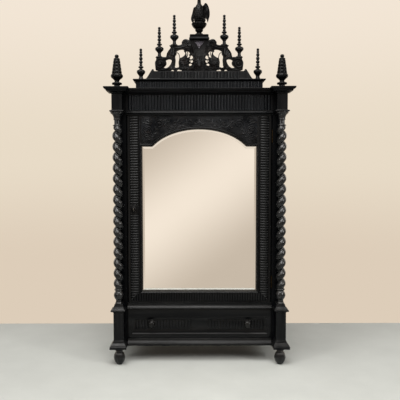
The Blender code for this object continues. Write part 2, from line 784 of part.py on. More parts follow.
# Cornice, attic and podium
def cornice():
    """The moulded top: it breaks forward over each post, and its back is flush."""
    right = [(post_in, face_y), (post_in, post_front), (post_out, post_front), (post_out, back_y)]
    plan = right + [(-x, y) for x, y in reversed(right)]
    reach = [1.0, 1.0, 1.0, 0.0, 1.0, 1.0, 1.0, 1.0]
    low = cornice_z
    cove_reach = 0.76 * CORNICE_REACH
    cove_height = 0.72 * CORNICE_HEIGHT
    profile = [(0.0, low), (0.0, low + 0.04 * CORNICE_HEIGHT)]
    profile += cove(cove_reach, cove_height, 0.002, low + 0.06 * CORNICE_HEIGHT)
    profile += [(CORNICE_REACH, low + 0.84 * CORNICE_HEIGHT), (CORNICE_REACH, low + CORNICE_HEIGHT)]
    moulded("cornice", plan, profile, dark_wood("cornice"), reach=reach)


def attic():
    half = ATTIC_WIDTH / 2
    low = attic_z + GAP
    high = attic_z + ATTIC_HEIGHT
    plan = rectangle(-half, half, attic_front, attic_front + ATTIC_DEPTH)
    lip = ATTIC_LIP
    profile = [(0.0, low), (0.0, high - 0.017), (0.3 * lip, high - 0.013), (0.8 * lip, high - 0.009),
               (lip, high - 0.006), (lip, high)]
    piece = moulded("attic", plan, profile, dark_wood("attic"), reach=[1.0, 1.0, 0.0, 1.0])
    strip = reeded_strip("attic_reeds", ATTIC_REED_WIDTH / 2, low + 0.003, high - 0.018, attic_front,
                         attic_front + REED_SINK, None, REED_PITCH * 0.92, 0.6 * REED_DEPTH)
    join_reeds(piece, strip)


def podium():
    half, top = PODIUM_WIDTH / 2, PODIUM_TOP_WIDTH / 2
    low = podium_z + GAP
    step = 0.18 * PODIUM_HEIGHT
    tip = crest_z - GAP + PODIUM_LIP_HEIGHT
    right = [(half, low), (half, low + 0.5 * step), (top + 0.55 * (half - top), low + 0.55 * PODIUM_HEIGHT),
             (top, tip), (top - 0.010, tip), (top - 0.016, crest_z - GAP)]
    outline = right + [(-x, z) for x, z in reversed(right)]
    piece = as_mesh(flat("podium", [outline], PODIUM_DEPTH, "front", podium_front, dark_wood("podium")))
    strip = reeded_strip("podium_reeds", PODIUM_REED_WIDTH / 2, low + step, crest_z - 0.006, podium_front,
                         podium_front + REED_SINK, None, REED_PITCH, 0.8 * REED_DEPTH)
    join_reeds(piece, strip)


# Crest
def mirrored(outline, sign):
    """The same outline on the other side of the wardrobe when sign is -1."""
    return outline if sign > 0 else [(-x, z) for x, z in reversed(outline)]


def on_crest(points):
    """Points on the crest's grid as (x, height) in metres."""
    wide, high = CREST_GRID
    return [(u / wide * CREST_HALF_WIDTH, crest_base + v / high * SLAB_RISE) for u, v in points]


def crest_outline():
    """Right half of the outer edge, from the podium up to the slab."""
    foot = [(126, 0), (129, 9), (140, 15), (154, 14), (162, 5), (162, 0),
            (182, 0), (185, 9), (195, 13), (203, 5), (205, 0)]
    volute = [(296, 0), (299, 6), (316, 10), (318, 26), (321, 53), (314, 80), (310, 103),
              (268, 103), (240, 102)]
    scroll = [(238, 107), (230, 130), (213, 154), (201, 170), (215, 184), (199, 189), (163, 189),
              (141, 188)]
    curl = [(126, 196), (122, 217), (104, 229), (87, 228), (71, 224)]
    return on_crest(foot + volute + scroll + curl)


def crest_holes():
    """The openings sawn through the right half of the board."""
    crescent = [(240, 80), (209, 87), (200, 77), (203, 60), (216, 39), (236, 24), (255, 27),
                (243, 43), (238, 63)]
    tall = [(175, 27), (172, 60), (170, 80), (173, 107), (166, 128), (165, 140), (152, 150), (128, 157),
            (111, 154), (105, 140), (101, 127), (111, 107), (124, 97), (143, 87), (149, 60), (149, 29)]
    upper = [(93, 145), (76, 141), (66, 130), (73, 118), (71, 107), (83, 101), (95, 107), (91, 123)]
    middle = [(61, 113), (49, 112), (46, 98), (56, 87), (67, 88), (74, 95)]
    lower = [(60, 79), (50, 81), (42, 74), (55, 62), (67, 68), (70, 79)]
    lowest = [(75, 48), (66, 57), (53, 52), (58, 42), (69, 39)]
    return [on_crest(hole) for hole in (crescent, tall, upper, middle, lower, lowest)]


def raised(name, outline, proud):
    """A carved part of the crest that stands proud of the board, sunk halfway into it."""
    return as_mesh(flat(name, [outline], proud + CREST_THICKNESS / 2, "front", crest_front - proud, None))


def crest_board():
    """The pierced board with its console, rosettes, volutes and slab, sawn and carved from one plank."""
    name = "crest_board"
    edge = crest_outline()
    outlines = [edge + mirrored(edge, -1)]
    for hole in crest_holes():
        outlines += [hole, mirrored(hole, -1)]
    board = as_mesh(flat(name, outlines, CREST_THICKNESS, "front", crest_front, dark_wood(name)))

    console = on_crest([(46, 0), (40, 40), (34, 85), (36, 120), (46, 160), (62, 195), (68, 224)])
    join(board, raised("crest_console", console + mirrored(console, -1), CONSOLE_PROUD))

    low = crest_base + SLAB_RISE
    half = SLAB_WIDTH / 2
    plan = rectangle(-half, half, crest_y - SLAB_DEPTH / 2, crest_y + SLAB_DEPTH / 2)
    profile = [(-0.05 * half, low), (0.0, low + 0.20 * SLAB_HEIGHT), (0.0, low + 0.68 * SLAB_HEIGHT),
               (-0.10 * half, low + 0.72 * SLAB_HEIGHT), (-0.10 * half, low + SLAB_HEIGHT)]
    join(board, moulded("crest_slab", plan, profile, None))

    discs = (
        ("rosette", ROSETTE, ROSETTE_RADIUS, ROSETTE_PROUD),
        ("volute", VOLUTE, VOLUTE_RADIUS, VOLUTE_PROUD),
        ("curl", CURL, CURL_RADIUS, CURL_PROUD),
    )
    half = SEAT_WIDTH / 2
    for side, sign in SIDES:
        for label, place, radius, proud in discs:
            x, z = on_crest([place])[0]
            join(board, raised(f"{label}_{side}", circle(sign * x, z, radius), proud))
        for label, place in (("volute_seat", VOLUTE_SEAT), ("arm_seat", ARM_SEAT)):
            x, top = on_crest([place])[0]
            join(board, box(f"{label}_{side}", (sign * x - half, crest_y - half, top - SEAT_THICKNESS),
                            (sign * x + half, crest_y + half, top), None))


def bird_finial():
    """The bird with half-raised wings on its urn, carved in one piece."""
    name = "bird_finial"
    seat = crest_base + SLAB_RISE + SLAB_HEIGHT + GAP
    place = (0.0, crest_y, seat)
    urn = ((0.0, 0.47), (0.05, 0.45), (0.15, 0.25), (0.30, 0.40), (0.42, 0.51), (0.51, 0.47),
           (0.70, 0.82), (0.82, 1.0), (0.90, 0.84), (1.0, 0.58))
    rings = [(URN_HEIGHT * level, URN_RADIUS * share, 0.0, 0.0) for level, share in urn]
    finial = stacked(name, rings, 10, dark_wood(name), place)

    # The bird is drawn in shares of its height: (height, radius, how far the spine leans back)
    tall = BIRD_RISE
    body = ((0.303, 0.055, 0.014), (0.352, 0.093, 0.010), (0.448, 0.117, 0.003), (0.569, 0.110, -0.007),
            (0.672, 0.076, -0.014), (0.741, 0.045, -0.017), (0.869, 0.034, -0.028),
            (0.921, 0.043, -0.034), (0.966, 0.043, -0.041), (1.0, 0.024, -0.041))
    spine = [(tall * level, tall * share, 0.0, tall * lean) for level, share, lean in body]
    join(finial, stacked("bird_body", spine, 8, None, place))
    beak_rings = [(0.0, 0.026 * tall, 0.0, 0.0), (0.041 * tall, 0.019 * tall, 0.0, 0.0),
                  (0.076 * tall, 0.005 * tall, 0.007 * tall, 0.0)]
    beak_place = (0.003 * tall, crest_y - 0.031 * tall, seat + 0.959 * tall)
    beak = stacked("bird_beak", beak_rings, 6, None, beak_place)
    beak.rotation_euler = (math.radians(100), 0.0, math.radians(35))
    join(finial, beak)
    left_wing = [(-0.02, 0.652), (-0.117, 0.738), (-0.145, 0.707), (-0.166, 0.603), (-0.207, 0.483),
                 (-0.193, 0.428), (-0.148, 0.338), (-0.128, 0.414), (-0.138, 0.483), (-0.028, 0.524)]
    right_wing = [(0.02, 0.645), (0.124, 0.800), (0.162, 0.821), (0.214, 0.766), (0.255, 0.662), (0.266, 0.586),
                  (0.241, 0.466), (0.214, 0.359), (0.190, 0.421), (0.159, 0.490), (0.028, 0.528)]
    start = crest_y - 0.45 * WING_THICKNESS
    for label, outline in (("bird_wing_left", left_wing), ("bird_wing_right", right_wing)):
        points = [(tall * x, seat + tall * z) for x, z in outline]
        join(finial, as_mesh(flat(label, [points], WING_THICKNESS, "front", start, None)))


# Finials
def slender_finial(name, x, y, seat, h):
    r = SLENDER_RADIUS
    profile = [(0.0, h), (0.0085, 0.955 * h), (0.003, 0.89 * h), (0.0080, 0.82 * h), (0.004, 0.755 * h),
               (0.0095, 0.68 * h), (0.0045, 0.62 * h), (0.0105, 0.555 * h), (0.0055, 0.45 * h),
               (0.0165, 0.42 * h), (0.0165, 0.39 * h), (0.007, 0.355 * h), (r, 0.28 * h), (0.95 * r, 0.25 * h),
               (0.0055, 0.085 * h), (SLENDER_FOOT, 0.01 * h), (SLENDER_FOOT, 0.0), (0.0, 0.0)]
    turned(name, profile, dark_wood(name), (x, y, seat + GAP), SLENDER_STEPS)


def large_finial(side, sign):
    name = "large_finial_" + side
    r = LARGE_RADIUS
    h = LARGE_HEIGHT
    profile = [(0.0, h), (0.010, 0.985 * h), (0.0140, 0.945 * h), (0.009, 0.905 * h), (0.008, 0.895 * h)]
    rings = 6
    low, high = 0.44 * h, 0.885 * h
    for i in range(rings):
        top = high - (high - low) * i / rings
        bottom = high - (high - low) * (i + 1) / rings
        radius = 0.019 + (0.032 - 0.019) * (i + 0.5) / rings
        profile += [(radius, (top + bottom) / 2), (radius - 0.005, bottom)]
    profile += [(0.93 * r, 0.39 * h), (r, 0.33 * h), (0.72 * r, 0.255 * h), (0.28 * r, 0.185 * h),
                (0.033, 0.125 * h), (0.033, 0.085 * h), (0.018, 0.06 * h), (0.018, 0.0), (0.0, 0.0)]
    turned(name, profile, dark_wood(name), (sign * post_x, column_y, attic_z + GAP), LARGE_STEPS)


def all_finials():
    for side, sign in SIDES:
        slender_finial("outer_finial_" + side, sign * OUTER_FINIAL_X, crest_y, podium_z, OUTER_FINIAL_HEIGHT)
        for label, place in (("volute_finial", VOLUTE_SEAT), ("arm_finial", ARM_SEAT)):
            x, seat = on_crest([place])[0]
            slender_finial(f"{label}_{side}", sign * x, crest_y, seat, SLENDER_HEIGHT)
        large_finial(side, sign)


# Door
def axis_empty(name, location):
    empty = bpy.data.objects.new(name, None)
    empty.location = location
    wardrobe.objects.link(empty)
    return empty


def hang(piece, parent):
    """Parents a piece to the empty on its joint's axis and leaves it where it is."""
    bpy.context.view_layer.update()
    piece.parent = parent
    piece.matrix_parent_inverse = parent.matrix_world.inverted()
    return piece


def mirror_outline(grow=0.0):
    """Sight outline of the mirror, counter-clockwise in (x, z), moved out all round by grow."""
    half = MIRROR_HALF_WIDTH
    arch = []
    for i in range(ARCH_POINTS + 1):
        x = ARCH_HALF_WIDTH * (1 - 2 * i / ARCH_POINTS)
        arch.append((x, arch_height(x)))
    nib = ARCH_HALF_WIDTH + ARCH_NIB
    outline = [(-half, sight_z), (half, sight_z), (half, shoulder_z), (nib, shoulder_z)]
    outline += arch + [(-nib, shoulder_z), (-half, shoulder_z)]
    if not grow:
        return outline
    return [moved_corner(outline, [1.0] * len(outline), i, grow) for i in range(len(outline))]


def arch_height(x):
    rise = ARCH_AXIS_TALL * (1 - math.sqrt(1 - (ARCH_HALF_WIDTH / ARCH_AXIS_WIDE) ** 2))
    top = shoulder_z + ARCH_SPRING + rise
    return top - ARCH_AXIS_TALL * (1 - math.sqrt(1 - (x / ARCH_AXIS_WIDE) ** 2))


def door_stile(side, sign, door):
    """A stile with a rebate for the glass and a ripple strip, which a plain block breaks at the lock."""
    name = "door_stile_" + side
    sight, edge = MIRROR_HALF_WIDTH, door_half
    section = [(edge, door_back), (sight + REBATE_WIDTH, door_back), (sight + REBATE_WIDTH, lip_back),
               (sight, lip_back), (sight, door_face), (edge - 0.008, door_face), (edge - 0.008, door_face - 0.003),
               (edge, door_face - 0.003)]
    section = mirrored(section, sign)
    stile = as_mesh(flat(name, [section], door_top - door_z, "plan", door_z, dark_wood(name)))
    low, high = door_z + 0.006, door_top - 0.006
    if sign < 0:
        block_low = lock_z - LOCK_BLOCK_HEIGHT / 2
        block_high = lock_z + LOCK_BLOCK_HEIGHT / 2
        row = reeds(low, block_low) + [(block_low, REED_DEPTH), (block_high, REED_DEPTH)]
        row += reeds(block_high, high)
    else:
        row = reeds(low, high)
    strip = [(door_face - REED_BED - proud, z) for z, proud in row]
    outline = [(door_face + REED_SINK, low)] + strip + [(door_face + REED_SINK, high)]
    start = RIPPLE_INNER if sign > 0 else -RIPPLE_OUTER
    join_reeds(stile, flat("ripple_" + side, [outline], RIPPLE_OUTER - RIPPLE_INNER, "side", start, None))
    if sign < 0:
        keyhole_through(stile, "stile")
    hang(stile, door)


def keyhole_through(piece, label):
    radius = KEY_SHANK_RADIUS + KEYHOLE_CLEARANCE
    start = door_face - 0.030
    length = door_back + 0.030 - start
    cut(piece, rod("keyhole_" + label, radius, (lock_x, start, lock_z), length, "Y", None))


def door_bottom_rail(door):
    name = "door_bottom_rail"
    half = MIRROR_HALF_WIDTH - GAP
    section = [(door_back, door_z), (door_back, sight_z - REBATE_WIDTH), (lip_back, sight_z - REBATE_WIDTH),
               (lip_back, sight_z), (door_face, sight_z), (door_face, door_z)]
    rail = as_mesh(flat(name, [section], 2 * half, "side", -half, dark_wood(name)))
    strip = reeded_strip("rail_ripple", half - 0.004, door_z + 0.012, sight_z - 0.016, door_face,
                         door_face + REED_SINK, None)
    join_reeds(rail, strip)
    hang(rail, door)


def door_top_rail(door):
    """The arched rail, as thick as the lip in front of the glass."""
    name = "door_top_rail"
    half = MIRROR_HALF_WIDTH - GAP
    arch = [(x, z) for x, z in mirror_outline()[2:]]
    low_edge = [(min(max(x, -half), half), z) for x, z in reversed(arch)]
    outline = low_edge + [(half, door_top), (-half, door_top)]
    rail = flat(name, [outline], FRAME_LIP, "front", door_face, dark_wood(name))
    hang(rail, door)


def mirror(door):
    """The bevelled glass behind the lip, and the board that holds it in."""
    front = lip_back + GAP
    back = front + GLASS_THICKNESS
    edge = REBATE_WIDTH - 2 * GAP
    profile = [(edge, -back), (edge, -front - 0.003), (edge - 0.001, -front - 0.0025), (-GLASS_BEVEL, -front)]
    glass = moulded("mirror_glass", mirror_outline(), profile,
                    finish("mirror_glass_silvered", (0.80, 0.80, 0.80), 0.02, 1.0), "front")
    hang(glass, door)
    half = MIRROR_HALF_WIDTH + REBATE_WIDTH - GAP
    board = box("mirror_backboard", (-half, back + GAP, sight_z - REBATE_WIDTH + GAP),
                (half, back + GAP + MIRROR_BACK_THICKNESS, door_top), plain_wood("mirror_backboard"))
    hang(board, door)
    bead_face = door_face - GAP
    inside, outside = BEAD_INSET, BEAD_INSET + BEAD_WIDTH
    section = [(inside, -bead_face), (inside, -bead_face + 0.4 * BEAD_HEIGHT),
               (inside + 0.35 * BEAD_WIDTH, -bead_face + BEAD_HEIGHT),
               (inside + 0.70 * BEAD_WIDTH, -bead_face + BEAD_HEIGHT),
               (outside, -bead_face + 0.4 * BEAD_HEIGHT), (outside, -bead_face)]
    bead = moulded("mirror_bead", mirror_outline(), section, dark_wood("mirror_bead"), "front", closed=True)
    hang(bead, door)


def escutcheon(door):
    name = "escutcheon"
    face = -(ripple_face - GAP)
    plan = [(lock_x + ESCUTCHEON_WIDTH / 2 * math.cos(a), lock_z + ESCUTCHEON_HEIGHT / 2 * math.sin(a))
            for a in (2 * math.pi * i / 16 for i in range(16))]
    deep = ESCUTCHEON_THICKNESS
    profile = [(0.0, face), (0.0, face + 0.4 * deep), (-0.8 * deep, face + deep)]
    plate = moulded(name, plan, profile, dark_wood(name), "front")
    keyhole_through(plate, "plate")
    hang(plate, door)


def lock_case(door):
    """A thin case on the back of the stile, open at the keyhole and where the bolt comes out."""
    name = "lock_case"
    low = (case_left, case_front, lock_z - LOCK_CASE_HEIGHT / 2)
    high = (case_left + LOCK_CASE_WIDTH, case_back, lock_z + LOCK_CASE_HEIGHT / 2)
    case = box(name, low, high, steel(name))
    wall = LOCK_WALL
    cut(case, box("case_hollow", tuple(v + wall for v in low), tuple(v - wall for v in high), None))
    slot = BOLT_SLOT_CLEARANCE
    half_y, half_z = BOLT_THICKNESS / 2, BOLT_HEIGHT / 2
    cut(case, box("bolt_slot", (case_left - wall, bolt_y - half_y - slot / 2, bolt_z - half_z - slot),
                  (case_left + 2 * wall, bolt_y + half_y + slot, bolt_z + half_z + slot), None))
    keyhole_through(case, "case")
    hang(case, door)


def lock_bolt(door):
    name = "lock_bolt"
    low = (case_left, bolt_y - BOLT_THICKNESS / 2, bolt_z - BOLT_HEIGHT / 2)
    high = (case_left + BOLT_LENGTH, bolt_y + BOLT_THICKNESS / 2, bolt_z + BOLT_HEIGHT / 2)
    hang(box(name, low, high, brass(name)), door)


def key(door):
    """Shank, oval bow and bit in one, turning on the middle of its shank."""
    name = "key"
    tip = case_back - LOCK_WALL - 2 * GAP
    bow_outer = ripple_face - ESCUTCHEON_THICKNESS - KEY_STAND_OUT
    bow_middle = bow_outer + KEY_BOW_HEIGHT * 0.40
    start = bow_middle + KEY_BOW_HEIGHT * 0.30
    shank = rod(name, KEY_SHANK_RADIUS, (lock_x, start, lock_z), tip - start, "Y", steel(name))
    angles = [2 * math.pi * i / 12 for i in range(12)]
    outer = [(bow_middle + 0.40 * KEY_BOW_HEIGHT * math.cos(a), lock_z + 0.50 * KEY_BOW_HEIGHT * math.sin(a))
             for a in angles]
    inner = [(bow_middle + 0.24 * KEY_BOW_HEIGHT * math.cos(a), lock_z + 0.32 * KEY_BOW_HEIGHT * math.sin(a))
             for a in angles]
    bow_start = lock_x - KEY_BOW_THICKNESS / 2
    join(shank, as_mesh(flat("key_bow", [outer, inner], KEY_BOW_THICKNESS, "side", bow_start, None)))
    bit_end = tip - CUTTER_OVERRUN
    low = (lock_x - KEY_BIT_THICKNESS / 2, bit_end - KEY_BIT_WIDTH, lock_z - KEY_BIT_REACH)
    high = (lock_x + KEY_BIT_THICKNESS / 2, bit_end, lock_z)
    join(shank, box("key_bit", low, high, None))
    hang(shank, door)


def knuckle(name, low, high):
    return rod(name, HINGE_RADIUS, (hinge_x, hinge_y, low), high - low, "Z", None)


def hinge(label, middle, door):
    """A butt hinge: the post's leaf carries the pin and the end knuckles, the door's leaf the middle one."""
    low, high = middle - HINGE_HEIGHT / 2, middle + HINGE_HEIGHT / 2
    third = HINGE_HEIGHT / 3
    leaf_back = hinge_y + HINGE_LEAF_DEPTH
    post_leaf_x = opening - GAP
    fixed_name = "hinge_post_leaf_" + label
    low_corner, high_corner = (post_leaf_x - HINGE_LEAF, hinge_y, low), (post_leaf_x, leaf_back, high)
    fixed = box(fixed_name, low_corner, high_corner, brass(fixed_name))
    middle_low, middle_high = low + third, high - third
    room_start = (hinge_x, hinge_y, middle_low - GAP)
    cut(fixed, rod("knuckle_room_" + label, HINGE_RADIUS + 2 * GAP, room_start, third + 2 * GAP, "Z", None, 16))
    join(fixed, knuckle("lower_knuckle_" + label, low, middle_low - GAP))
    join(fixed, knuckle("upper_knuckle_" + label, middle_high + GAP, high))
    pin_start = (hinge_x, hinge_y, low + CUTTER_OVERRUN)
    join(fixed, rod("pin_" + label, HINGE_PIN_RADIUS, pin_start, HINGE_HEIGHT - 2 * CUTTER_OVERRUN, "Z", None))
    moving_name = "hinge_door_leaf_" + label
    door_leaf_x = door_half + GAP
    low_corner = (door_leaf_x, hinge_y, middle_low + GAP)
    high_corner = (door_leaf_x + HINGE_LEAF, leaf_back, middle_high - GAP)
    moving = box(moving_name, low_corner, high_corner, brass(moving_name))
    join(moving, knuckle("middle_knuckle_" + label, middle_low + GAP / 2, middle_high - GAP / 2))
    bore_start = (hinge_x, hinge_y, low)
    bore_radius = HINGE_PIN_RADIUS + HINGE_BORE_CLEARANCE
    cut(moving, rod("pin_bore_" + label, bore_radius, bore_start, HINGE_HEIGHT, "Z", None))
    hang(moving, door)


def door():
    axis = axis_empty("door_hinge_axis", (hinge_x, hinge_y, door_z))
    for side, sign in SIDES:
        door_stile(side, sign, axis)
    door_bottom_rail(axis)
    door_top_rail(axis)
    mirror(axis)
    escutcheon(axis)
    lock_case(axis)
    lock_bolt(axis)
    key(axis)
    hinge("lower", door_z + HINGE_FROM_END, axis)
    hinge("upper", door_top - HINGE_FROM_END, axis)


# Drawer
def drawer_front(drawer):
    """A front with a sunk field, and in it a row of reeds at each end and a plain middle."""
    name = "drawer_front"
    low, high = drawer_z, drawer_top
    plan = rectangle(-drawer_half, drawer_half, low, high)
    front = moulded(name, plan, [(0.0, -drawer_front_back), (0.0, -drawer_face)], dark_wood(name), "front")
    side = drawer_half - DRAWER_FRAME_SIDE
    field = rectangle(-side, side, low + DRAWER_FRAME_BOTTOM, field_top)
    sink = [(-DRAWER_FIELD_BEVEL, -field_face), (0.0, -drawer_face), (0.0, CUTTER_OVERRUN - drawer_face)]
    cut(front, moulded("drawer_field", field, sink, None, "front"))
    outer, inner = DRAWER_REED_OUTER, DRAWER_REED_INNER
    bed = field_face - REED_BED
    left = [(x, bed - proud) for x, proud in reeds(-outer, -inner, REED_PITCH, 0.6 * REED_DEPTH)]
    right = [(x, bed - proud) for x, proud in reeds(inner, outer, REED_PITCH, 0.6 * REED_DEPTH)]
    outline = [(-outer, field_face + REED_SINK)] + left + right + [(outer, field_face + REED_SINK)]
    strip = flat("drawer_reeds", [outline], DRAWER_REED_HEIGHT, "plan", reed_top - DRAWER_REED_HEIGHT, None)
    join_reeds(front, strip)
    for side, sign in SIDES:
        depth = 2 * REED_DEPTH
        start = (sign * KNOB_SPACING / 2, field_face - depth, knob_z)
        cut(front, rod("knob_seat_" + side, KNOB_ROSE_RADIUS + WELD, start, depth, "Y", None, 20))
    hang(front, drawer)


def drawer_box(drawer):
    side_out_x = drawer_half - DRAWER_SIDE_INSET
    side_in_x = side_out_x - DRAWER_SIDE_THICKNESS
    low = drawer_z + DRAWER_LIFT
    high = low + DRAWER_SIDE_HEIGHT
    start = drawer_front_back + GAP
    for side, sign in SIDES:
        x0, x1 = sorted((sign * side_in_x, sign * side_out_x))
        name = "drawer_side_" + side
        hang(box(name, (x0, start, low), (x1, drawer_back, high), plain_wood(name)), drawer)
    half = side_in_x - GAP
    raise_z = low + DRAWER_BOTTOM_RAISE
    bottom_top = raise_z + DRAWER_BOTTOM_THICKNESS
    name = "drawer_bottom"
    hang(box(name, (-half, start, raise_z), (half, drawer_back, bottom_top), plain_wood(name)), drawer)
    name = "drawer_back"
    hang(box(name, (-half, drawer_back - DRAWER_SIDE_THICKNESS, bottom_top + GAP),
             (half, drawer_back, high - DRAWER_BACK_DROP), plain_wood(name)), drawer)
    return low, side_out_x


def drawer_knob(side, sign, drawer):
    name = "drawer_knob_" + side
    r = KNOB_RADIUS
    length = KNOB_LENGTH
    profile = [(0.0, length), (0.45 * r, 0.985 * length), (0.85 * r, 0.90 * length), (r, 0.74 * length),
               (0.85 * r, 0.58 * length), (0.45 * r, 0.46 * length), (0.42 * r, 0.30 * length),
               (0.62 * r, 0.20 * length), (KNOB_ROSE_RADIUS, 0.14 * length), (KNOB_ROSE_RADIUS, 0.0), (0.0, 0.0)]
    place = (sign * KNOB_SPACING / 2, field_face - GAP, knob_z)
    knob = turned(name, profile, dark_wood(name), place, 12)
    knob.rotation_euler = (math.pi / 2, 0.0, 0.0)
    hang(knob, drawer)


def drawer_runners(side_low, side_out_x):
    """Runners on the bottom board: a seat under each drawer side and a guide beside it."""
    seat = side_low - RUNNER_CLEARANCE
    low = FOOT_HEIGHT + BOARD_THICKNESS + GAP
    guide_x = side_out_x + RUNNER_CLEARANCE
    top = seat + RUNNER_GUIDE_HEIGHT
    outer = board_half
    section = [(guide_x - RUNNER_SEAT, low), (outer, low), (outer, top), (guide_x, top), (guide_x, seat),
               (guide_x - RUNNER_SEAT, seat)]
    for side, sign in SIDES:
        name = "drawer_runner_" + side
        outline = mirrored(section, sign)
        flat(name, [outline], board_back - board_front, "front", board_front, plain_wood(name))


def drawer():
    axis = axis_empty("drawer_slide_axis", (0.0, drawer_face, drawer_z))
    drawer_front(axis)
    side_low, side_out_x = drawer_box(axis)
    for side, sign in SIDES:
        drawer_knob(side, sign, axis)
    drawer_runners(side_low, side_out_x)


def build():
    for side, sign in SIDES:
        front_foot(side, sign)
        back_post(side, sign)
        pedestal(side, sign)
        column(side, sign)
        upper_block(side, sign)
        corner_stile(side, sign)
        side_panel(side, sign)
    plinth_rail()
    waist_rail()
    head_rail()
    frieze()
    back_panel()
    carcass_boards()
    cornice()
    attic()
    podium()
    crest_board()
    bird_finial()
    all_finials()
    door()
    drawer()


build()
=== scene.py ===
# Mirrored wardrobe: the finished look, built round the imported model. Metres, +Z up, front towards -Y.
import math

import bmesh
import bpy
from mathutils import Euler, Matrix, Vector


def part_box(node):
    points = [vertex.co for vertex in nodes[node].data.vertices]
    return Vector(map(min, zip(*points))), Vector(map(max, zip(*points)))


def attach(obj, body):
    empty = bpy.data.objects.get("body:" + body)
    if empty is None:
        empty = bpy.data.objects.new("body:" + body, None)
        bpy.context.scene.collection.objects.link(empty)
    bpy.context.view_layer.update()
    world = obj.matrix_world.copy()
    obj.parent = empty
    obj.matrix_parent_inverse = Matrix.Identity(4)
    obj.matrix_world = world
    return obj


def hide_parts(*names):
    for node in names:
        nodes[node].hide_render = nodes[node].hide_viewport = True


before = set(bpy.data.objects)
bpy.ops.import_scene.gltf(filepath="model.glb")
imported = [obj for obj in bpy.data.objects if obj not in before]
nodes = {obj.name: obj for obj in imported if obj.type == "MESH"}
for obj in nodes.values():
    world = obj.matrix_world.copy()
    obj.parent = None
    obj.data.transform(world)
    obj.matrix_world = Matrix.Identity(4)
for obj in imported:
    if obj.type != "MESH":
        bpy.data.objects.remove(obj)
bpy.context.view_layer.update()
sides = (("left", -1), ("right", 1))
fullTurn = 2 * math.pi
print("frame loaded with", len(nodes), "nodes")


# Meshes
def mm(points):      # tables are in millimetres; a third value marks a point on a curve
    return [tuple(value / 1000 for value in point[:2]) + tuple(point[2:]) for point in points]


def angles(count, closed=0):      # evenly round a circle, back to the first one if closed
    return [fullTurn * k / count for k in range(count + closed)]


def oval(u, v, wide, tall, count, closed=0):
    return [(u + wide * math.cos(a), v + tall * math.sin(a)) for a in angles(count, closed)]


def flipped(points):      # the same points on the other side of the middle, in reverse
    return [(-x, z) for x, z in reversed(points)]


def lifted(points, rise, step=1):
    return [(reach, rise + step * height) for reach, height in points]


def loft(bm, rings, looped=False):      # skins rings of equal count, and caps the ends unless looped
    loops = [[bm.verts.new(point) for point in ring] for ring in rings]
    for low, high in list(zip(loops, loops[1:])) + [(loops[-1], loops[0])] * looped:
        for k in range(len(low)):
            j = (k + 1) % len(low)
            bm.faces.new((low[k], low[j], high[j], high[k]))
    if not looped:
        bm.faces.new(loops[0])
        bm.faces.new(loops[-1])


def fitted(name, bm, material, body, replaced, crease=34, ease=0):
    # the finished piece, its arrises eased as on sanded wood, in place of a node
    bmesh.ops.recalc_face_normals(bm, faces=bm.faces)
    mesh = bpy.data.meshes.new(name)
    bm.to_mesh(mesh)
    bm.free()
    mesh.polygons.foreach_set("use_smooth", [True] * len(mesh.polygons))
    mesh.set_sharp_from_angle(angle=math.radians(crease))
    mesh.materials.append(material)
    piece = bpy.data.objects.new(name, mesh)
    bpy.context.scene.collection.objects.link(piece)
    if ease:
        bevel = piece.modifiers.new("eased", "BEVEL")
        bevel.width = ease
        bevel.segments = 2
        bevel.limit_method = "ANGLE"
        bevel.angle_limit = math.radians(38)
        bevel.harden_normals = False
    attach(piece, body)
    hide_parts(replaced)


def bent(points, steps=4):      # curves through the marked points, the others are corners
    line = []
    for i in range(len(points) - 1):
        a, b = points[i], points[i + 1]
        if len(a) < 3 and len(b) < 3:
            line.append(a[:2])
            continue
        before = points[i - 1] if len(a) > 2 and i else a
        after = points[i + 2] if len(b) > 2 and i + 2 < len(points) else b
        line += [between(before, a, b, after, k / steps) for k in range(steps)]
    return line + [points[-1][:2]]


def between(p, a, b, q, t):
    return tuple(0.5 * (2 * a[n] + (b[n] - p[n]) * t + (2 * p[n] - 5 * a[n] + 4 * b[n] - q[n]) * t * t
                        + (3 * a[n] - p[n] - 3 * b[n] + q[n]) * t ** 3) for n in (0, 1))


def roundLoop(points, steps):      # a closed outline through all its points
    count = len(points)
    return [between(points[i - 1], points[i], points[(i + 1) % count], points[(i + 2) % count], k / steps)
            for i in range(count) for k in range(steps)]


def turnOn(bm, profile, place, around=40, swell=None, tilt=None):      # turned on a lathe
    rings = []
    for radius, height in profile:
        ring = []
        for angle in angles(around):
            r = max(radius, 0.00005) * (swell(angle, height) if swell else 1)
            point = Vector((r * math.cos(angle), r * math.sin(angle), height))
            ring.append((tilt @ point if tilt else point) + Vector(place))
        rings.append(ring)
    loft(bm, rings)


def oblong(x0, x1, y0, y1):      # its edges are front, right, back and left
    x0, x1 = sorted((x0, x1))
    return [(x0, y0), (x1, y0), (x1, y1), (x0, y1)]


def grown(plan, reach, share=None):      # moves each edge of an anticlockwise outline out by its share of reach
    count = len(plan)
    lines = []
    for i in range(count):
        a, b = Vector(plan[i]), Vector(plan[(i + 1) % count])
        along = (b - a).normalized()
        lines.append((a + Vector((along.y, -along.x)) * reach * (share[i] if share else 1), along))
    ring = []
    for i in range(count):
        (a, u), (b, v) = lines[i - 1], lines[i]
        cross = u.x * v.y - u.y * v.x
        ring.append(b if abs(cross) < 1e-6 else a + u * (((b.x - a.x) * v.y - (b.y - a.y) * v.x) / cross))
    return ring


def storeys(bm, plan, profile, share=None):      # a moulded body, its profile as (reach, height)
    loft(bm, [[(p.x, p.y, height) for p in grown(plan, reach, share)] for reach, height in profile])


def framed(bm, outline, profile, looped=False):      # the same on the front, its profile as (reach, y)
    loft(bm, [[(p.x, y, p.y) for p in grown(outline, reach)] for reach, y in profile], looped)


def run(bm, section, low, high):      # a moulded length along X, its section as (y, height)
    loft(bm, [[(x, y, z) for y, z in section] for x in (low, high)])


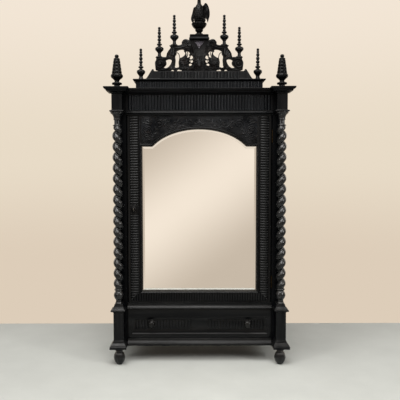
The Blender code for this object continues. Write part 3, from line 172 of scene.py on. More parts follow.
def block(bm, low, high):
    loft(bm, [[(x, y, z) for x, y in oblong(low[0], high[0], low[1], high[1])] for z in (low[2], high[2])])


def sawn(bm, outlines, front, back, edge=0.001, side=False):      # a board with holes and eased edges
    curve = bpy.data.curves.new("sawn", "CURVE")
    curve.dimensions = "2D"
    curve.fill_mode = "BOTH"
    curve.extrude = abs(back - front) / 2 - edge
    curve.bevel_depth = edge
    curve.bevel_resolution = 1
    curve.offset = -edge
    for outline in outlines:
        spline = curve.splines.new("POLY")
        spline.points.add(len(outline) - 1)
        for point, (x, z) in zip(spline.points, outline):
            point.co = (x, z, 0, 1)
        spline.use_cyclic_u = True
    holder = bpy.data.objects.new("sawn", curve)
    bpy.context.scene.collection.objects.link(holder)
    mesh = bpy.data.meshes.new_from_object(holder.evaluated_get(bpy.context.evaluated_depsgraph_get()))
    middle = (front + back) / 2
    raised = Euler((math.pi / 2, 0, math.pi / 2 if side else 0)).to_matrix().to_4x4()
    mesh.transform(Matrix.Translation((middle, 0, 0) if side else (0, middle, 0)) @ raised)
    start = len(bm.verts)
    bm.from_mesh(mesh)
    bmesh.ops.remove_doubles(bm, verts=bm.verts[start:] if start else bm.verts, dist=0.00002)
    bpy.data.objects.remove(holder)
    bpy.data.curves.remove(curve)
    bpy.data.meshes.remove(mesh)


def ribs(bm, low, high, look, ends, place, swell=((0, 1), (1, 1)), arc=8):
    # half-round ribs from low to high; ends gives where each rib starts and stops at its own place
    count = max(1, round((high - low) / look["pitch"]))
    step = (high - low) / count
    for i in range(count):
        centre = low + step * (i + 0.5)
        if ends(centre)[0] + 0.004 > ends(centre)[1]:
            continue
        row = [(centre - 0.47 * step * math.cos(math.pi * k / arc),
                look["depth"] * math.sin(math.pi * k / arc) ** 0.8 if 0 < k < arc else 0) for k in range(arc + 1)]
        row = [(row[0][0], -0.001)] + row + [(row[-1][0], -0.001)]
        rings = []
        for share, full in swell:
            ring = []
            for t, w in row:
                start, stop = ends(t)
                ring.append(place(start + (stop - start) * share, t, w * full if w > 0 else w))
            rings.append(ring)
        loft(bm, rings)


def upright(front, sign=1):      # for ribs that stand upright on a front face
    return lambda along, across, w: Vector((sign * across, front - w, along))


# Carving: u and v lie on the board, w stands proud of it
def facing(y, sign=1):
    return lambda u, v, w: Vector((sign * u, y - w, v))


footing = -0.0012      # how far the foot of a stroke or a leaf goes under the board


def stroke(bm, path, widths, lift, place, arc=6):      # a half-round ridge along a path
    rings = []
    for i, (u, v) in enumerate(path):
        along = direction(path, i)
        half = blend(widths, i / (len(path) - 1)) / 2
        rise = lift * min(1, 0.25 + half / max(widths) * 1.5)
        row = [(half * math.cos(a), rise * math.sin(a)) for a in angles(2 * arc)[:arc + 1]]
        row = [(half, footing)] + row + [(-half, footing)]
        rings.append([place(u - along.y * out, v + along.x * out, w) for out, w in row])
    loft(bm, rings)


def direction(path, i):
    a, b = path[max(i - 1, 0)], path[min(i + 1, len(path) - 1)]
    return Vector((b[0] - a[0], b[1] - a[1])).normalized()


def blend(values, t):
    place = t * (len(values) - 1)
    i = min(int(place), len(values) - 2)
    return values[i] + (values[i + 1] - values[i]) * (place - i)


leafSection = [(-1, 0), (-0.82, 0.5), (-0.45, 1), (-0.1, 0.8), (0, 0.5), (0.1, 0.8), (0.45, 1), (0.82, 0.5), (1, 0)]


def leaf(bm, root, tip, width, lift, place, bend=0.0, steps=9, curl=0.0):      # a leaf with a sunk midrib
    du, dv = tip[0] - root[0], tip[1] - root[1]
    rings = []
    for i in range(steps + 1):
        t = i / steps
        sway, slope = bend * 4 * t * (1 - t), bend * 4 * (1 - 2 * t)
        u, v = root[0] + du * t - dv * sway, root[1] + dv * t + du * sway
        along = Vector((du - dv * slope, dv + du * slope)).normalized()
        half = 0.5 * width * max(0.07, math.sin(math.pi * min(1, t * 0.93 + 0.05)) ** 0.75)
        rise = lift * (0.35 + 0.65 * math.sin(math.pi * min(1, 0.12 + 0.85 * t))) + curl * t ** 3
        row = [(s, rise * r if r else curl * t ** 3 * 0.6) for s, r in leafSection]
        row += [(0.9, footing), (-0.9, footing)]
        rings.append([place(u - along.y * s * half, v + along.x * s * half, w) for s, w in row])
    loft(bm, rings)


def button(bm, centre, radius, lift, place, around=14, rows=4):
    storey = [(radius, -0.001)]
    storey += [(radius * math.cos(a), lift * math.sin(a)) for a in angles(4 * rows)[:rows]]
    loft(bm, [[place(u, v, w) for u, v in oval(*centre, r, r, around)] for r, w in storey])


def scroll(centre, outer, inner, start, turns, hand=1, points=34):      # the path of a volute
    path = []
    for i in range(points + 1):
        radius = outer + (inner - outer) * (i / points) ** 0.8
        angle = math.radians(start) + hand * fullTurn * turns * i / points
        path.append((centre[0] + radius * math.cos(angle), centre[1] + radius * math.sin(angle)))
    return path


def flower(bm, centre, radius, petals, lift, place, turn=0.0):
    for a in angles(petals):
        u, v = math.cos(turn + a), math.sin(turn + a)
        ends = [(centre[0] + r * u, centre[1] + r * v) for r in (0.12 * radius, radius)]
        leaf(bm, *ends, radius * 4.6 / petals, lift, place, bend=0.10, steps=7)
    button(bm, centre, radius * 0.24, lift * 1.25, place)


# Materials
def tone(red, green, blue):      # a colour as a picture editor shows it, 0 to 255
    def linear(value):
        share = value / 255
        return share / 12.92 if share <= 0.04045 else ((share + 0.055) / 1.055) ** 2.4
    return (linear(red), linear(green), linear(blue), 1.0)


def feed(tree, node, inputs):      # links sockets and sets plain values
    for key, value in inputs.items():
        if isinstance(value, bpy.types.NodeSocket):
            tree.links.new(value, node.inputs[key])
        else:
            node.inputs[key].default_value = value


def add(tree, kind, inputs, **settings):
    made = tree.nodes.new("ShaderNode" + kind)
    for key, value in settings.items():
        setattr(made, key, value)
    feed(tree, made, inputs)
    return made.outputs


def newGroup(name, takes, gives):      # what it takes, with None for a vector, and what it gives
    tree = bpy.data.node_groups.new(name, "ShaderNodeTree")
    for label, value in takes.items():
        kind = "NodeSocketVector" if value is None else "NodeSocketFloat"
        socket = tree.interface.new_socket(label, in_out="INPUT", socket_type=kind)
        if value is not None:
            socket.default_value = value
    for label in gives:
        tree.interface.new_socket(label, in_out="OUTPUT", socket_type="NodeSocketFloat")
    return tree, tree.nodes.new("NodeGroupInput").outputs, tree.nodes.new("NodeGroupOutput")


def ramp(tree, factor, low, high):
    values = {"Value": factor, "From Min": low, "From Max": high}
    return add(tree, "MapRange", values, interpolation_type="SMOOTHSTEP")["Result"]


def maths(tree, operation, first, second=0.0):
    return add(tree, "Math", {0: first, 1: second}, operation=operation)[0]


def times(tree, first, second):
    return maths(tree, "MULTIPLY", first, second)


def mixed(tree, factor, first, second):
    return add(tree, "Mix", {0: factor, 6: first, 7: second}, data_type="RGBA")[2]


def objectSpace(tree):
    return add(tree, "TexCoord", {})["Object"]


def noise(tree, where, scale, detail, rough=0.5, distortion=0.0):
    return add(tree, "TexNoise", {"Vector": where, "Scale": scale, "Detail": detail, "Roughness": rough,
                                  "Distortion": distortion})["Fac"]


def grainGroup():      # long figure and short pores, from a vector already stretched along the grain
    tree, takes, gives = newGroup("woodGrain", {"Vector": None, "Fineness": 1.0}, ("Figure", "Pores"))
    wide = noise(tree, takes["Vector"], times(tree, takes["Fineness"], 22.0), 6.0, 0.62, 0.6)
    fine = noise(tree, takes["Vector"], times(tree, takes["Fineness"], 190.0), 3.0, 0.7)
    feed(tree, gives, {"Figure": ramp(tree, wide, 0.32, 0.68), "Pores": ramp(tree, fine, 0.56, 0.70)})
    return tree


def wearGroup():      # where an edge has been rubbed
    tree, takes, gives = newGroup("edgeWear", {"Width": 0.0012, "Patchiness": 14.0}, ("Wear",))
    rounded = add(tree, "Bevel", {"Radius": takes["Width"]}, samples=4)["Normal"]
    true = add(tree, "NewGeometry", {})["Normal"]
    agree = add(tree, "VectorMath", {0: rounded, 1: true}, operation="DOT_PRODUCT")["Value"]
    patches = noise(tree, objectSpace(tree), takes["Patchiness"], 5.0, 0.7)
    feed(tree, gives, {"Wear": times(tree, ramp(tree, agree, 0.985, 0.80), ramp(tree, patches, 0.44, 0.66))})
    return tree


def dustGroup():      # a thin film of dust on what faces up, lighter there: real dust, and a painted highlight on the ledges
    tree, takes, gives = newGroup("settledDustAndSheen", {"Amount": 0.5, "Scale": 30.0}, ("DustAndSheen",))
    up = add(tree, "SeparateXYZ", {"Vector": add(tree, "NewGeometry", {})["Normal"]})["Z"]
    clouds = noise(tree, objectSpace(tree), takes["Scale"], 6.0, 0.65)
    film = times(tree, ramp(tree, up, 0.25, 0.98), ramp(tree, clouds, 0.25, 0.75))
    feed(tree, gives, {"DustAndSheen": times(tree, film, takes["Amount"])})
    return tree


def polishGroup():      # uneven polish, from glossy to dull
    tree, takes, gives = newGroup("unevenPolish", {"Glossy": 0.3, "Dull": 0.5, "Scale": 6.0}, ("Roughness",))
    spread = ramp(tree, noise(tree, objectSpace(tree), takes["Scale"], 7.0, 0.6), 0.3, 0.7)
    reach = maths(tree, "SUBTRACT", takes["Dull"], takes["Glossy"])
    feed(tree, gives, {"Roughness": maths(tree, "ADD", takes["Glossy"], times(tree, spread, reach))})
    return tree


groups = {"grain": grainGroup(), "wear": wearGroup(), "dust": dustGroup(), "polish": polishGroup()}


def startMaterial(name):
    material = bpy.data.materials.new(name)
    material.use_nodes = True
    return material, material.node_tree, material.node_tree.nodes["Principled BSDF"]


def useGroup(tree, key, inputs):
    return add(tree, "Group", inputs, node_tree=groups[key])


def wood(name, look, **changes):      # any wood: its stretch sets the way of the grain
    look = {**look, **changes}
    material, tree, shader = startMaterial(name)
    stretched = add(tree, "Mapping", {"Vector": objectSpace(tree), "Scale": look["stretch"]})["Vector"]
    grain = useGroup(tree, "grain", {"Vector": stretched, "Fineness": look["fineness"]})
    wear = useGroup(tree, "wear", {"Width": look["wearWidth"], "Patchiness": look["patchiness"]})
    # up-facing surfaces lightened by a dust film: real dust, and a painted highlight on ledges and slopes
    dust = useGroup(tree, "dust", {"Amount": look["dust"], "Scale": look["dustScale"]})["DustAndSheen"]
    polish = useGroup(tree, "polish", {"Glossy": look["glossy"], "Dull": look["dull"], "Scale": look["polishScale"]})
    figure, pores = grain["Figure"], grain["Pores"]
    colour = mixed(tree, figure, look["dark"], look["light"])
    colour = mixed(tree, times(tree, pores, look["poreDepth"]), colour, look["pore"])
    colour = mixed(tree, times(tree, wear["Wear"], look["wearAmount"]), colour, look["worn"])
    dulled = maths(tree, "ADD", polish["Roughness"], times(tree, dust, 0.35))
    height = maths(tree, "SUBTRACT", times(tree, figure, 0.35), pores)
    feed(tree, shader, {
        "Base Color": mixed(tree, dust, colour, look["dustColour"]),
        "Roughness": maths(tree, "ADD", dulled, times(tree, pores, 0.06)),
        "Normal": add(tree, "Bump", {"Height": height, "Strength": look["bump"], "Distance": 0.0006})["Normal"],
        "Specular IOR Level": look["specular"],
        "Coat Weight": times(tree, ramp(tree, figure, -look["even"], 1.0), look["coat"]),
        "Coat Roughness": look["coatRoughness"],
    })
    return material


level, deep = (0.05, 1.0, 1.0), (1.0, 0.05, 1.0)      # ways of the grain
blackLook = {
    "fineness": 1.0, "stretch": (1.0, 1.0, 0.05),
    "dark": tone(4, 5, 7), "light": tone(10, 11, 13), "pore": tone(2, 2, 3), "poreDepth": 0.7,
    "worn": tone(66, 50, 40), "wearWidth": 0.0012, "wearAmount": 0.55, "patchiness": 16.0,
    "dust": 0.10, "dustScale": 34.0, "dustColour": tone(120, 118, 112),
    "glossy": 0.30, "dull": 0.44, "polishScale": 7.0, "even": 0.6,
    "bump": 0.25, "specular": 0.08, "coat": 0.26, "coatRoughness": 0.15,
}
uprightBlack = wood("ebonisedUpright", blackLook)
levelBlack = wood("ebonisedLevel", blackLook, stretch=level)
corniceBlack = wood("ebonisedCornice", blackLook, stretch=level, specular=0.05, coat=0.14)
shadedBlack = wood("ebonisedDull", blackLook, dust=0.0, specular=0.05, coat=0.03)
reededBlack = wood("ebonisedReeded", blackLook, dark=tone(4, 6, 9), light=tone(9, 12, 16), even=0.9, coat=0.17,
                   dust=0.04, wearAmount=0.35)
rippleBlack = wood("ebonisedRipples", blackLook, dark=tone(3, 4, 6), light=tone(7, 9, 11), even=0.9, bump=0.12,
                   coat=0.30, wearAmount=0.3, dust=0.03)
carvedLook = {
    **blackLook, "dark": tone(3, 3, 4), "light": tone(20, 20, 21), "stretch": (0.35, 1.0, 0.35), "even": 0.1,
    "wearWidth": 0.0016, "wearAmount": 0.7, "dust": 0.12, "specular": 0.05, "coat": 0.34, "coatRoughness": 0.20,
}
carvedBlack = wood("ebonisedCarved", carvedLook)
# far lighter than the other carving: a painted highlight on the console shell, which sits in the slab's shade
shellHighlightBlack = wood("ebonisedShellHighlight", carvedLook, dark=tone(44, 40, 46), light=tone(128, 122, 130),
                   worn=tone(206, 198, 202), coat=0.7)
arcadeBlack = wood("ebonisedArch", carvedLook, dark=tone(5, 6, 8), light=tone(27, 29, 32), dust=0.16, coat=0.40)
birdBlack = wood("ebonisedBird", carvedLook, light=tone(6, 6, 6), dust=0.0, wearAmount=0.3, specular=0.03, coat=0.24,
                 coatRoughness=0.10)
turnedLook = {
    **blackLook, "stretch": (1.0, 1.0, 0.12), "bump": 0.10, "poreDepth": 0.35, "glossy": 0.26, "dull": 0.38,
    "wearWidth": 0.002, "specular": 0.20, "coat": 0.62,
}
turnedBlack = wood("ebonisedTurned", turnedLook)
spireBlack = wood("ebonisedSpires", turnedLook, specular=0.08, coat=0.20, coatRoughness=0.20)
# ring ledges strongly worn and dusty: real wear and dust, and painted highlight lines along each ledge
ringedBlack = wood("ebonisedRinged", turnedLook, dark=tone(3, 3, 4), light=tone(9, 9, 9), dust=0.20,
                   worn=tone(112, 108, 102), wearAmount=0.9, specular=0.03, coat=0.18, coatRoughness=0.20)
# darker than the other black wood: painted shade round each knob and its plate, with a glossy coat for the highlight
knobShadeBlack = wood("ebonisedKnobsShaded", turnedLook, dark=tone(2, 2, 2), light=tone(5, 5, 5), dust=0.0, wearAmount=0.1,
                 specular=0.04, coat=0.65, coatRoughness=0.14)
plainLook = {
    **blackLook, "dark": tone(96, 66, 42), "light": tone(140, 102, 68), "pore": tone(60, 40, 26), "poreDepth": 0.55,
    "worn": tone(168, 130, 92), "wearAmount": 0.4, "dust": 0.25, "dustColour": tone(150, 142, 130),
    "glossy": 0.55, "dull": 0.75, "bump": 0.5, "specular": 0.35, "coat": 0.0,
}
plainUpright = wood("plainWoodUpright", plainLook)
plainLevel = wood("plainWoodLevel", plainLook, stretch=level)
# much darker plain wood for the bottom board: painted shade under the wardrobe, which also throws less light onto the
# floor below
plainUnderShade = wood("plainWoodUnderShade", plainLook, stretch=level, dark=tone(44, 38, 31), light=tone(62, 54, 44), dust=0.1)
plainDeep = wood("plainWoodDeep", plainLook, stretch=deep)


def silvering():
    material, tree, shader = startMaterial("silveredGlass")
    where = objectSpace(tree)
    clouds = noise(tree, where, 3.0, 4.0)
    foxing = times(tree, ramp(tree, noise(tree, where, 140.0, 3.0, 0.8), 0.70, 0.78), ramp(tree, clouds, 0.45, 0.75))
    tint = mixed(tree, clouds, tone(246, 244, 240), tone(250, 248, 245))
    feed(tree, shader, {"Base Color": mixed(tree, times(tree, foxing, 0.35), tint, tone(150, 140, 126)),
                        "Roughness": times(tree, foxing, 0.25), "Metallic": 1.0})
    return material


def metal(name, dark, light, bright):
    material, tree, shader = startMaterial(name)
    where = objectSpace(tree)
    scratched = add(tree, "Mapping", {"Vector": where, "Scale": (1.0, 0.06, 1.0)})["Vector"]
    lines = noise(tree, scratched, 900.0, 2.0)
    wear = useGroup(tree, "wear", {"Width": 0.0006, "Patchiness": 90.0})["Wear"]
    colour = mixed(tree, ramp(tree, noise(tree, where, 45.0, 6.0, 0.65), 0.35, 0.65), tone(*dark), tone(*light))
    feed(tree, shader, {
        "Base Color": mixed(tree, wear, colour, tone(*bright)), "Metallic": 1.0,
        "Roughness": useGroup(tree, "polish", {"Glossy": 0.35, "Dull": 0.55, "Scale": 60.0})["Roughness"],
        "Normal": add(tree, "Bump", {"Height": lines, "Strength": 0.2, "Distance": 0.0002})["Normal"],
    })
    return material


mirrorSilver = silvering()
lockSteel = metal("lockSteel", (40, 38, 34), (66, 63, 58), (124, 119, 108))
# dark brass for the lock bolt and the hinges, lighter on worn edges
darkBrass = metal("darkBrass", (30, 24, 17), (52, 41, 26), (120, 94, 52))
print("materials made")

# Places on the wardrobe
doorFace = -0.185
faceY = -0.190
stileBack = -0.156
postFront = -0.280
postIn, postOut = 0.5465, 0.619
postX = (postIn + postOut) / 2
columnY = postFront + (postOut - postIn) / 2
railHalf = 0.5257
lying = Euler((math.pi / 2, 0, 0)).to_matrix()      # turns a turned piece's axis to the front

feet = {
    "profile": mm([(0, 0), (18, 0), (22.5, 3, 1), (34, 21, 1), (40.5, 42, 1), (40.5, 56, 1), (34.5, 78, 1),
                   (25.5, 92, 1), (22.5, 98.5), (28.5, 100.5, 1), (30, 104.5, 1), (28.5, 108.5), (23.5, 110),
                   (26.5, 120.5), (0, 120.5)]),
    "around": 64, "lobes": 8, "depth": 0.075, "low": 0.008, "high": 0.095, "fade": 0.012,
}


def frontFoot(side, sign):
    def lobed(angle, height):
        if not feet["low"] < height < feet["high"]:
            return 1
        fade = min(1, (height - feet["low"]) / feet["fade"], (feet["high"] - height) / feet["fade"])
        return 1 - feet["depth"] * fade * (1 - abs(math.cos(feet["lobes"] / 2 * angle)) ** 0.7)
    bm = bmesh.new()
    turnOn(bm, bent(feet["profile"], 5), (sign * postX, columnY, 0), feet["around"], lobed)
    fitted("foot_" + side, bm, turnedBlack, "carcass", "front_foot_" + side, 48)


posts = {      # the base block reaches less far on its inner side
    "base": mm([(25.5, 121.3), (27, 122.8), (27, 138.5), (25.5, 140.5), (24, 141.2), (22.5, 146, 1), (15, 155.5, 1),
                (7, 164, 1), (4.5, 172.5), (1.8, 173.5), (1.8, 180), (0, 181.5)]),
    "cap": mm([(0, 385), (3.5, 386.2), (3.5, 390), (12, 391.5, 1), (17, 394.5, 1), (18, 397.5), (18, 402), (16.5, 404),
               (12, 405, 1), (6, 411.5, 1), (0, 422, 1), (-5, 434, 1), (-7.5, 443.6)]),
    "block": mm([(10, 1815.4), (13.6, 1817.5), (13.8, 1822.5), (12.5, 1824.5), (2, 1828.5), (0, 1829.5), (0, 1941.6)]),
    "inner": 0.74,
}


def postPlan(sign):
    return oblong(sign * postIn, sign * postOut, postFront, faceY - 0.0004)


def pedestal(side, sign):
    bm = bmesh.new()
    share = [1, 1 if sign > 0 else posts["inner"], 0, posts["inner"] if sign > 0 else 1]
    storeys(bm, postPlan(sign), bent(posts["base"]) + bent(posts["cap"]), share)
    fitted("pedestal_and_base_" + side, bm, uprightBlack, "carcass", "pedestal_" + side, ease=0.0010)


def upperBlock(side, sign):
    bm = bmesh.new()
    storeys(bm, postPlan(sign), posts["block"], [1, 1, 0, 1])
    fitted("post_over_column_" + side, bm, uprightBlack, "carcass", "upper_block_" + side, ease=0.0012)


columns = {      # heights from the column's foot
    "z": 0.444, "around": 44, "tube": 0.0265, "coil": 0.0102, "plain": 0.0268, "pitch": 0.0756, "start": 0.110,
    "ringsPerTurn": 24, "fadeRings": 8, "steps": 96,
    "foot": mm([(0, 0.3), (27, 0.3), (27, 6), (24.5, 9, 1), (22, 17, 1), (22, 27, 1), (26, 35), (28.5, 37),
                (31, 42, 1), (35.5, 54, 1), (36.2, 61.5, 1), (35, 70, 1), (30, 84), (26.5, 86), (24.5, 93),
                (24.5, 95.5), (30, 97.5, 1), (31.8, 102, 1), (30, 106.5), (26.2, 108)]),
    "head": mm([(26.2, 1272), (30, 1273.5, 1), (32.2, 1277.5, 1), (30, 1281.5), (24, 1283), (22.4, 1290, 1),
                (22.2, 1306, 1), (22.5, 1314), (26.2, 1316), (27, 1319.5, 1), (26.2, 1323), (26.2, 1327, 1),
                (28.5, 1340, 1), (34, 1351, 1), (42.5, 1359, 1), (48, 1365), (49, 1366.5), (49, 1370.2), (0, 1370.2)]),
}


def coilReach(turn):      # how far a round tube, wound round the axis, reaches at an angle from its own middle
    tube, coil, pitch = columns["tube"], columns["coil"], columns["pitch"]
    best = 0
    for i in range(-30, 31):
        up = tube * i / 30
        off = turn - fullTurn * up / pitch
        inside = tube ** 2 - up ** 2 - (coil * math.sin(off)) ** 2
        if inside > 0:
            best = max(best, coil * math.cos(off) + math.sqrt(inside))
    return best


def twistedColumn(side, sign):
    steps, plain = columns["steps"], columns["plain"]
    reach = [coilReach(angle) for angle in angles(steps, 1)]
    foot, head = bent(columns["foot"]), bent(columns["head"])
    low, high = foot[-1][1], head[0][1]
    count = round((high - low) / columns["pitch"] * columns["ringsPerTurn"])
    around = angles(columns["around"])
    shaft = []
    for i in range(1, count):
        height = low + (high - low) * i / count
        fade = min(1, i / columns["fadeRings"], (count - i) / columns["fadeRings"])
        middle = math.pi / 2 * (1 + sign) + sign * fullTurn * (height - columns["start"]) / columns["pitch"]
        shares = [(-sign * (a - middle) / fullTurn) % 1 for a in around]
        shaft.append((height, [plain + (blend(reach, share) - plain) * fade for share in shares]))
    ends = [[(height, [max(radius, 0.0001)] * len(around)) for radius, height in profile] for profile in (foot, head)]
    bm = bmesh.new()
    rings = []
    for height, radii in ends[0] + shaft + ends[1]:
        spokes = [(r * math.cos(a), r * math.sin(a)) for a, r in zip(around, radii)]
        rings.append([(sign * postX + x, columnY + y, columns["z"] + height) for x, y in spokes])
    loft(bm, rings)
    fitted("twisted_column_" + side, bm, turnedBlack, "carcass", "column_" + side, 50)


for side, sign in sides:
    frontFoot(side, sign)
    pedestal(side, sign)
    twistedColumn(side, sign)
    upperBlock(side, sign)
print("feet, pedestals, columns and posts made")

rails = {      # section as (y, height)
    "plinth": mm([(-156, 121.3), (-208.5, 121.3), (-210, 122.8), (-210, 134), (-209, 135.5), (-206.5, 136.2),
                  (-205, 140, 1), (-199, 150, 1), (-194, 160, 1), (-192.5, 166.5), (-190.5, 167.2), (-190.5, 172.7),
                  (-156, 172.7)]),
    "waist": mm([(-156, 392.3), (-196, 392.3), (-203, 393.2, 1), (-208.5, 396, 1), (-210, 398.5), (-210, 401),
                 (-208.5, 403), (-204, 406, 1), (-199, 411.5, 1), (-196, 418), (-193.5, 419), (-193.5, 436.6),
                 (-156, 436.6)]),
    "head": mm([(-156, 1801.1), (-192.5, 1801.1), (-193, 1801.6), (-195, 1805, 1), (-199.5, 1809, 1),
                (-206, 1811.2, 1), (-208.5, 1811.8), (-210, 1812.8), (-210, 1814.6), (-209, 1815.4), (-205.1, 1822.6),
                (-203.6, 1824.2), (-203.4, 1832.4), (-156, 1832.4)]),
}


def mouldedRail(key):
    bm = bmesh.new()
    run(bm, bent(rails[key]), -railHalf, railHalf)
    fitted(key + "_moulding", bm, levelBlack, "carcass", key + "_rail", 30, 0.0007)


for key in rails:
    mouldedRail(key)

frieze = {"front": faceY + 0.0045, "low": 1.8332, "high": 1.9416, "half": 0.5132, "pitch": 0.0212, "depth": 0.0088}


def reededFrieze():
    bm = bmesh.new()
    low, high, front, half = frieze["low"], frieze["high"], frieze["front"], frieze["half"]
    block(bm, (-railHalf, front, low), (railHalf, stileBack, high))
    ribs(bm, -half, half, frieze, lambda t: (low + 0.0005, high - 0.0005), upright(front))
    fitted("reeded_frieze", bm, reededBlack, "carcass", "frieze", 50)


cornice = {
    "flank": 0.604,
    "profile": mm([(0, 1942.2), (2.5, 1942.2), (2.5, 1944.8), (5.5, 1945.8, 1), (10, 1950, 1), (18, 1954.5, 1),
                   (29, 1956.8), (32, 1957.2), (33, 1958.5), (33, 1967), (34, 1968.5), (38.5, 1969, 1),
                   (44, 1971.2, 1), (48.5, 1976, 1), (49.5, 1978.5), (50, 1980), (50, 1985.5), (49, 1986.95)]),
}


def mouldedCornice():
    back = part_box("cornice")[1].y
    plan = [(postIn, faceY), (postIn, postFront), (postOut, postFront), (postOut, faceY), (cornice["flank"], faceY),
            (cornice["flank"], back)]
    plan += flipped(plan)
    ends = zip(plan, plan[1:] + plan[:1])      # every edge moves out but the one against the wall
    share = [0 if max(back - a[1], back - b[1]) < 1e-6 else 1 for a, b in ends]
    bm = bmesh.new()
    storeys(bm, plan, bent(cornice["profile"]), share)
    fitted("moulded_cornice", bm, corniceBlack, "carcass", "cornice", 30, 0.0006)


reededFrieze()
mouldedCornice()

attic = {      # heights from its foot, then down from its top
    "half": 0.457, "front": -0.165, "deep": 0.270, "reedHalf": 0.430, "pitch": 0.0238, "depth": 0.0064,
    "foot": mm([(2, 0), (2, 3), (0, 4)]),
    "top": mm([(0, 18.2), (1.5, 17.2), (4, 16.7, 1), (8.5, 13.2, 1), (14.5, 10.2, 1), (18, 9.2), (19.5, 7.7),
               (20, 6.2), (20, 0.8), (19.2, 0)]),
}


def reededAttic():
    low, high = [corner.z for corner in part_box("attic")]
    half, front = attic["reedHalf"], attic["front"]
    bm = bmesh.new()
    plan = oblong(-attic["half"], attic["half"], front, front + attic["deep"])
    storeys(bm, plan, lifted(attic["foot"], low) + lifted(bent(attic["top"]), high, -1), [1, 1, 0, 1])
    ribs(bm, -half, half, attic, lambda t: (low + 0.0045, high - 0.0184), upright(front))
    fitted("reeded_attic", bm, reededBlack, "carcass", "attic", 50, 0.0005)


podium = {      # its end as half width and height from its foot, and its foot moulding as (y, height)
    "half": 0.386, "front": -0.142, "deep": 0.110, "height": 0.0610,
    "reedHalf": 0.288, "pitch": 0.0241, "depth": 0.0064,
    "end": mm([(388, 0), (388, 5), (385.5, 6.2), (376, 19, 1), (366, 34.5, 1), (353, 56, 1), (343, 71, 1), (340, 74.5),
               (337, 75.2, 1), (331, 73.8), (325, 61)]),
    "section": mm([(2, 0.2), (-4, 0.2), (-4, 6.2), (-2.2, 8.2), (2, 9.2)]),
}


def reededPodium():
    low, front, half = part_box("podium")[0].z, podium["front"], podium["reedHalf"]
    bm = bmesh.new()
    end = lifted(bent(podium["end"]), low)
    sawn(bm, [end + flipped(end)], front, front + podium["deep"], 0.0010)
    run(bm, [(front + out, low + up) for out, up in podium["section"]], -podium["half"], podium["half"])
    ribs(bm, -half, half, podium, lambda t: (low + 0.0100, low + podium["height"] - 0.0060), upright(front))
    fitted("reeded_podium", bm, uprightBlack, "carcass", "podium", 50)


reededAttic()
reededPodium()
print("rails, frieze, cornice, attic and podium made")

slender = {      # its beads are radius, foot and length, and its tip radius and height, in shares of its height
    "profile": mm([(0, 0), (20.5, 0), (20.2, 3.5), (17.2, 11, 1), (14.8, 17.5, 1), (13.8, 22.5, 1), (15.5, 29, 1),
                   (20.5, 36.5, 1), (26.8, 44, 1), (30.6, 50), (31.2, 55, 1), (30.6, 61.2, 1), (24, 67.5, 1),
                   (15, 71.5, 1), (10.5, 75.5), (10.8, 80), (16.5, 82), (18.8, 85, 1), (18.4, 90, 1), (14.6, 93.5),
                   (7.8, 95.2)]),
    "height": 0.214, "footTop": 0.044, "slim": 0.66, "stem": 0.0066, "around": 28,
    "beads": [(0.0118, 0.448, 0.065), (0.0142, 0.516, 0.098), (0.0132, 0.617, 0.118), (0.012, 0.738, 0.112),
        (0.0104, 0.853, 0.06)],
    "tip": [(0.0062, 0.916), (0.0088, 0.926), (0.0104, 0.948), (0.0092, 0.974), (0.0050, 0.992), (0, 0.999)],
}
large = {
    "profile": mm([(0, 0), (21.5, 0), (21.5, 12), (20.5, 16.5, 1), (22.5, 19, 1), (33, 21.5), (35.5, 25, 1),
                   (35.5, 31, 1), (31, 35), (21.5, 37.5, 1), (16.8, 42.5, 1), (17.8, 49, 1), (26, 58.5, 1),
                   (37.2, 68, 1), (42.8, 77.5, 1), (42.5, 85, 1), (38.5, 93, 1), (33, 98.5)]),
    "rings": 4.5, "start": 0.0992, "stop": 0.2060, "wide": 0.0358, "narrow": 0.0212, "around": 36,
    "tip": mm([(10, 207), (9.5, 207.8), (12.8, 210.5), (15, 217), (13.6, 224.5), (8.4, 230.2), (0, 231.7)]),
}


def turnedFinial(name, replaced, profile, look, material):
    low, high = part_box(replaced)
    bm = bmesh.new()
    turnOn(bm, profile, ((low.x + high.x) / 2, (low.y + high.y) / 2, low.z), look["around"])
    fitted(name, bm, material, "carcass", replaced, 50)


def slenderFinial(name, replaced):
    low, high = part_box(replaced)
    tall = high.z - low.z
    stem = slender["stem"]
    slim = 1 if replaced.startswith("outer") else slender["slim"]      # a thinner foot on the crest
    profile = [(radius * (slim + (1 - slim) * min(1, height / slender["footTop"])), height * tall / slender["height"])
               for radius, height in bent(slender["profile"])]
    for radius, start, length in slender["beads"]:
        bead = [(stem, start)]
        for k in range(1, 8):
            bead.append((stem + (radius - stem) * math.sin(math.pi * k / 8) ** 0.75, start + length * k / 8))
        profile += lifted(bead, 0, tall)
    turnedFinial(name, replaced, profile + lifted(slender["tip"], 0, tall), slender, spireBlack)


def largeFinial(side):
    start, stop, count = large["start"], large["stop"], large["rings"]
    step, fall = (stop - start) / count, (large["wide"] - large["narrow"]) / count
    profile = bent(large["profile"])
    for i in range(math.ceil(count)):      # each ring has a lit ledge at its foot and a small one over it
        radius, base = large["wide"] - fall * i, start + step * i
        band = min(step, stop - base)
        slope, over = fall * band / step, base + band
        profile += [(radius - 0.0040, base), (radius - 0.0008, base + 0.0010), (radius, base + 0.0026),
                    (radius - 0.80 * slope, over - 0.0046), (radius - 0.90 * slope - 0.0006, over - 0.0034),
                    (radius - slope - 0.0036, over - 0.0006)]
    turnedFinial("ringed_finial_" + side, "large_finial_" + side, profile + large["tip"], large, ringedBlack)


for side, sign in sides:
    for place in ("outer", "volute", "arm"):
        slenderFinial(f"{place}_spire_{side}", f"{place}_finial_{side}")
    largeFinial(side)
print("finials made")

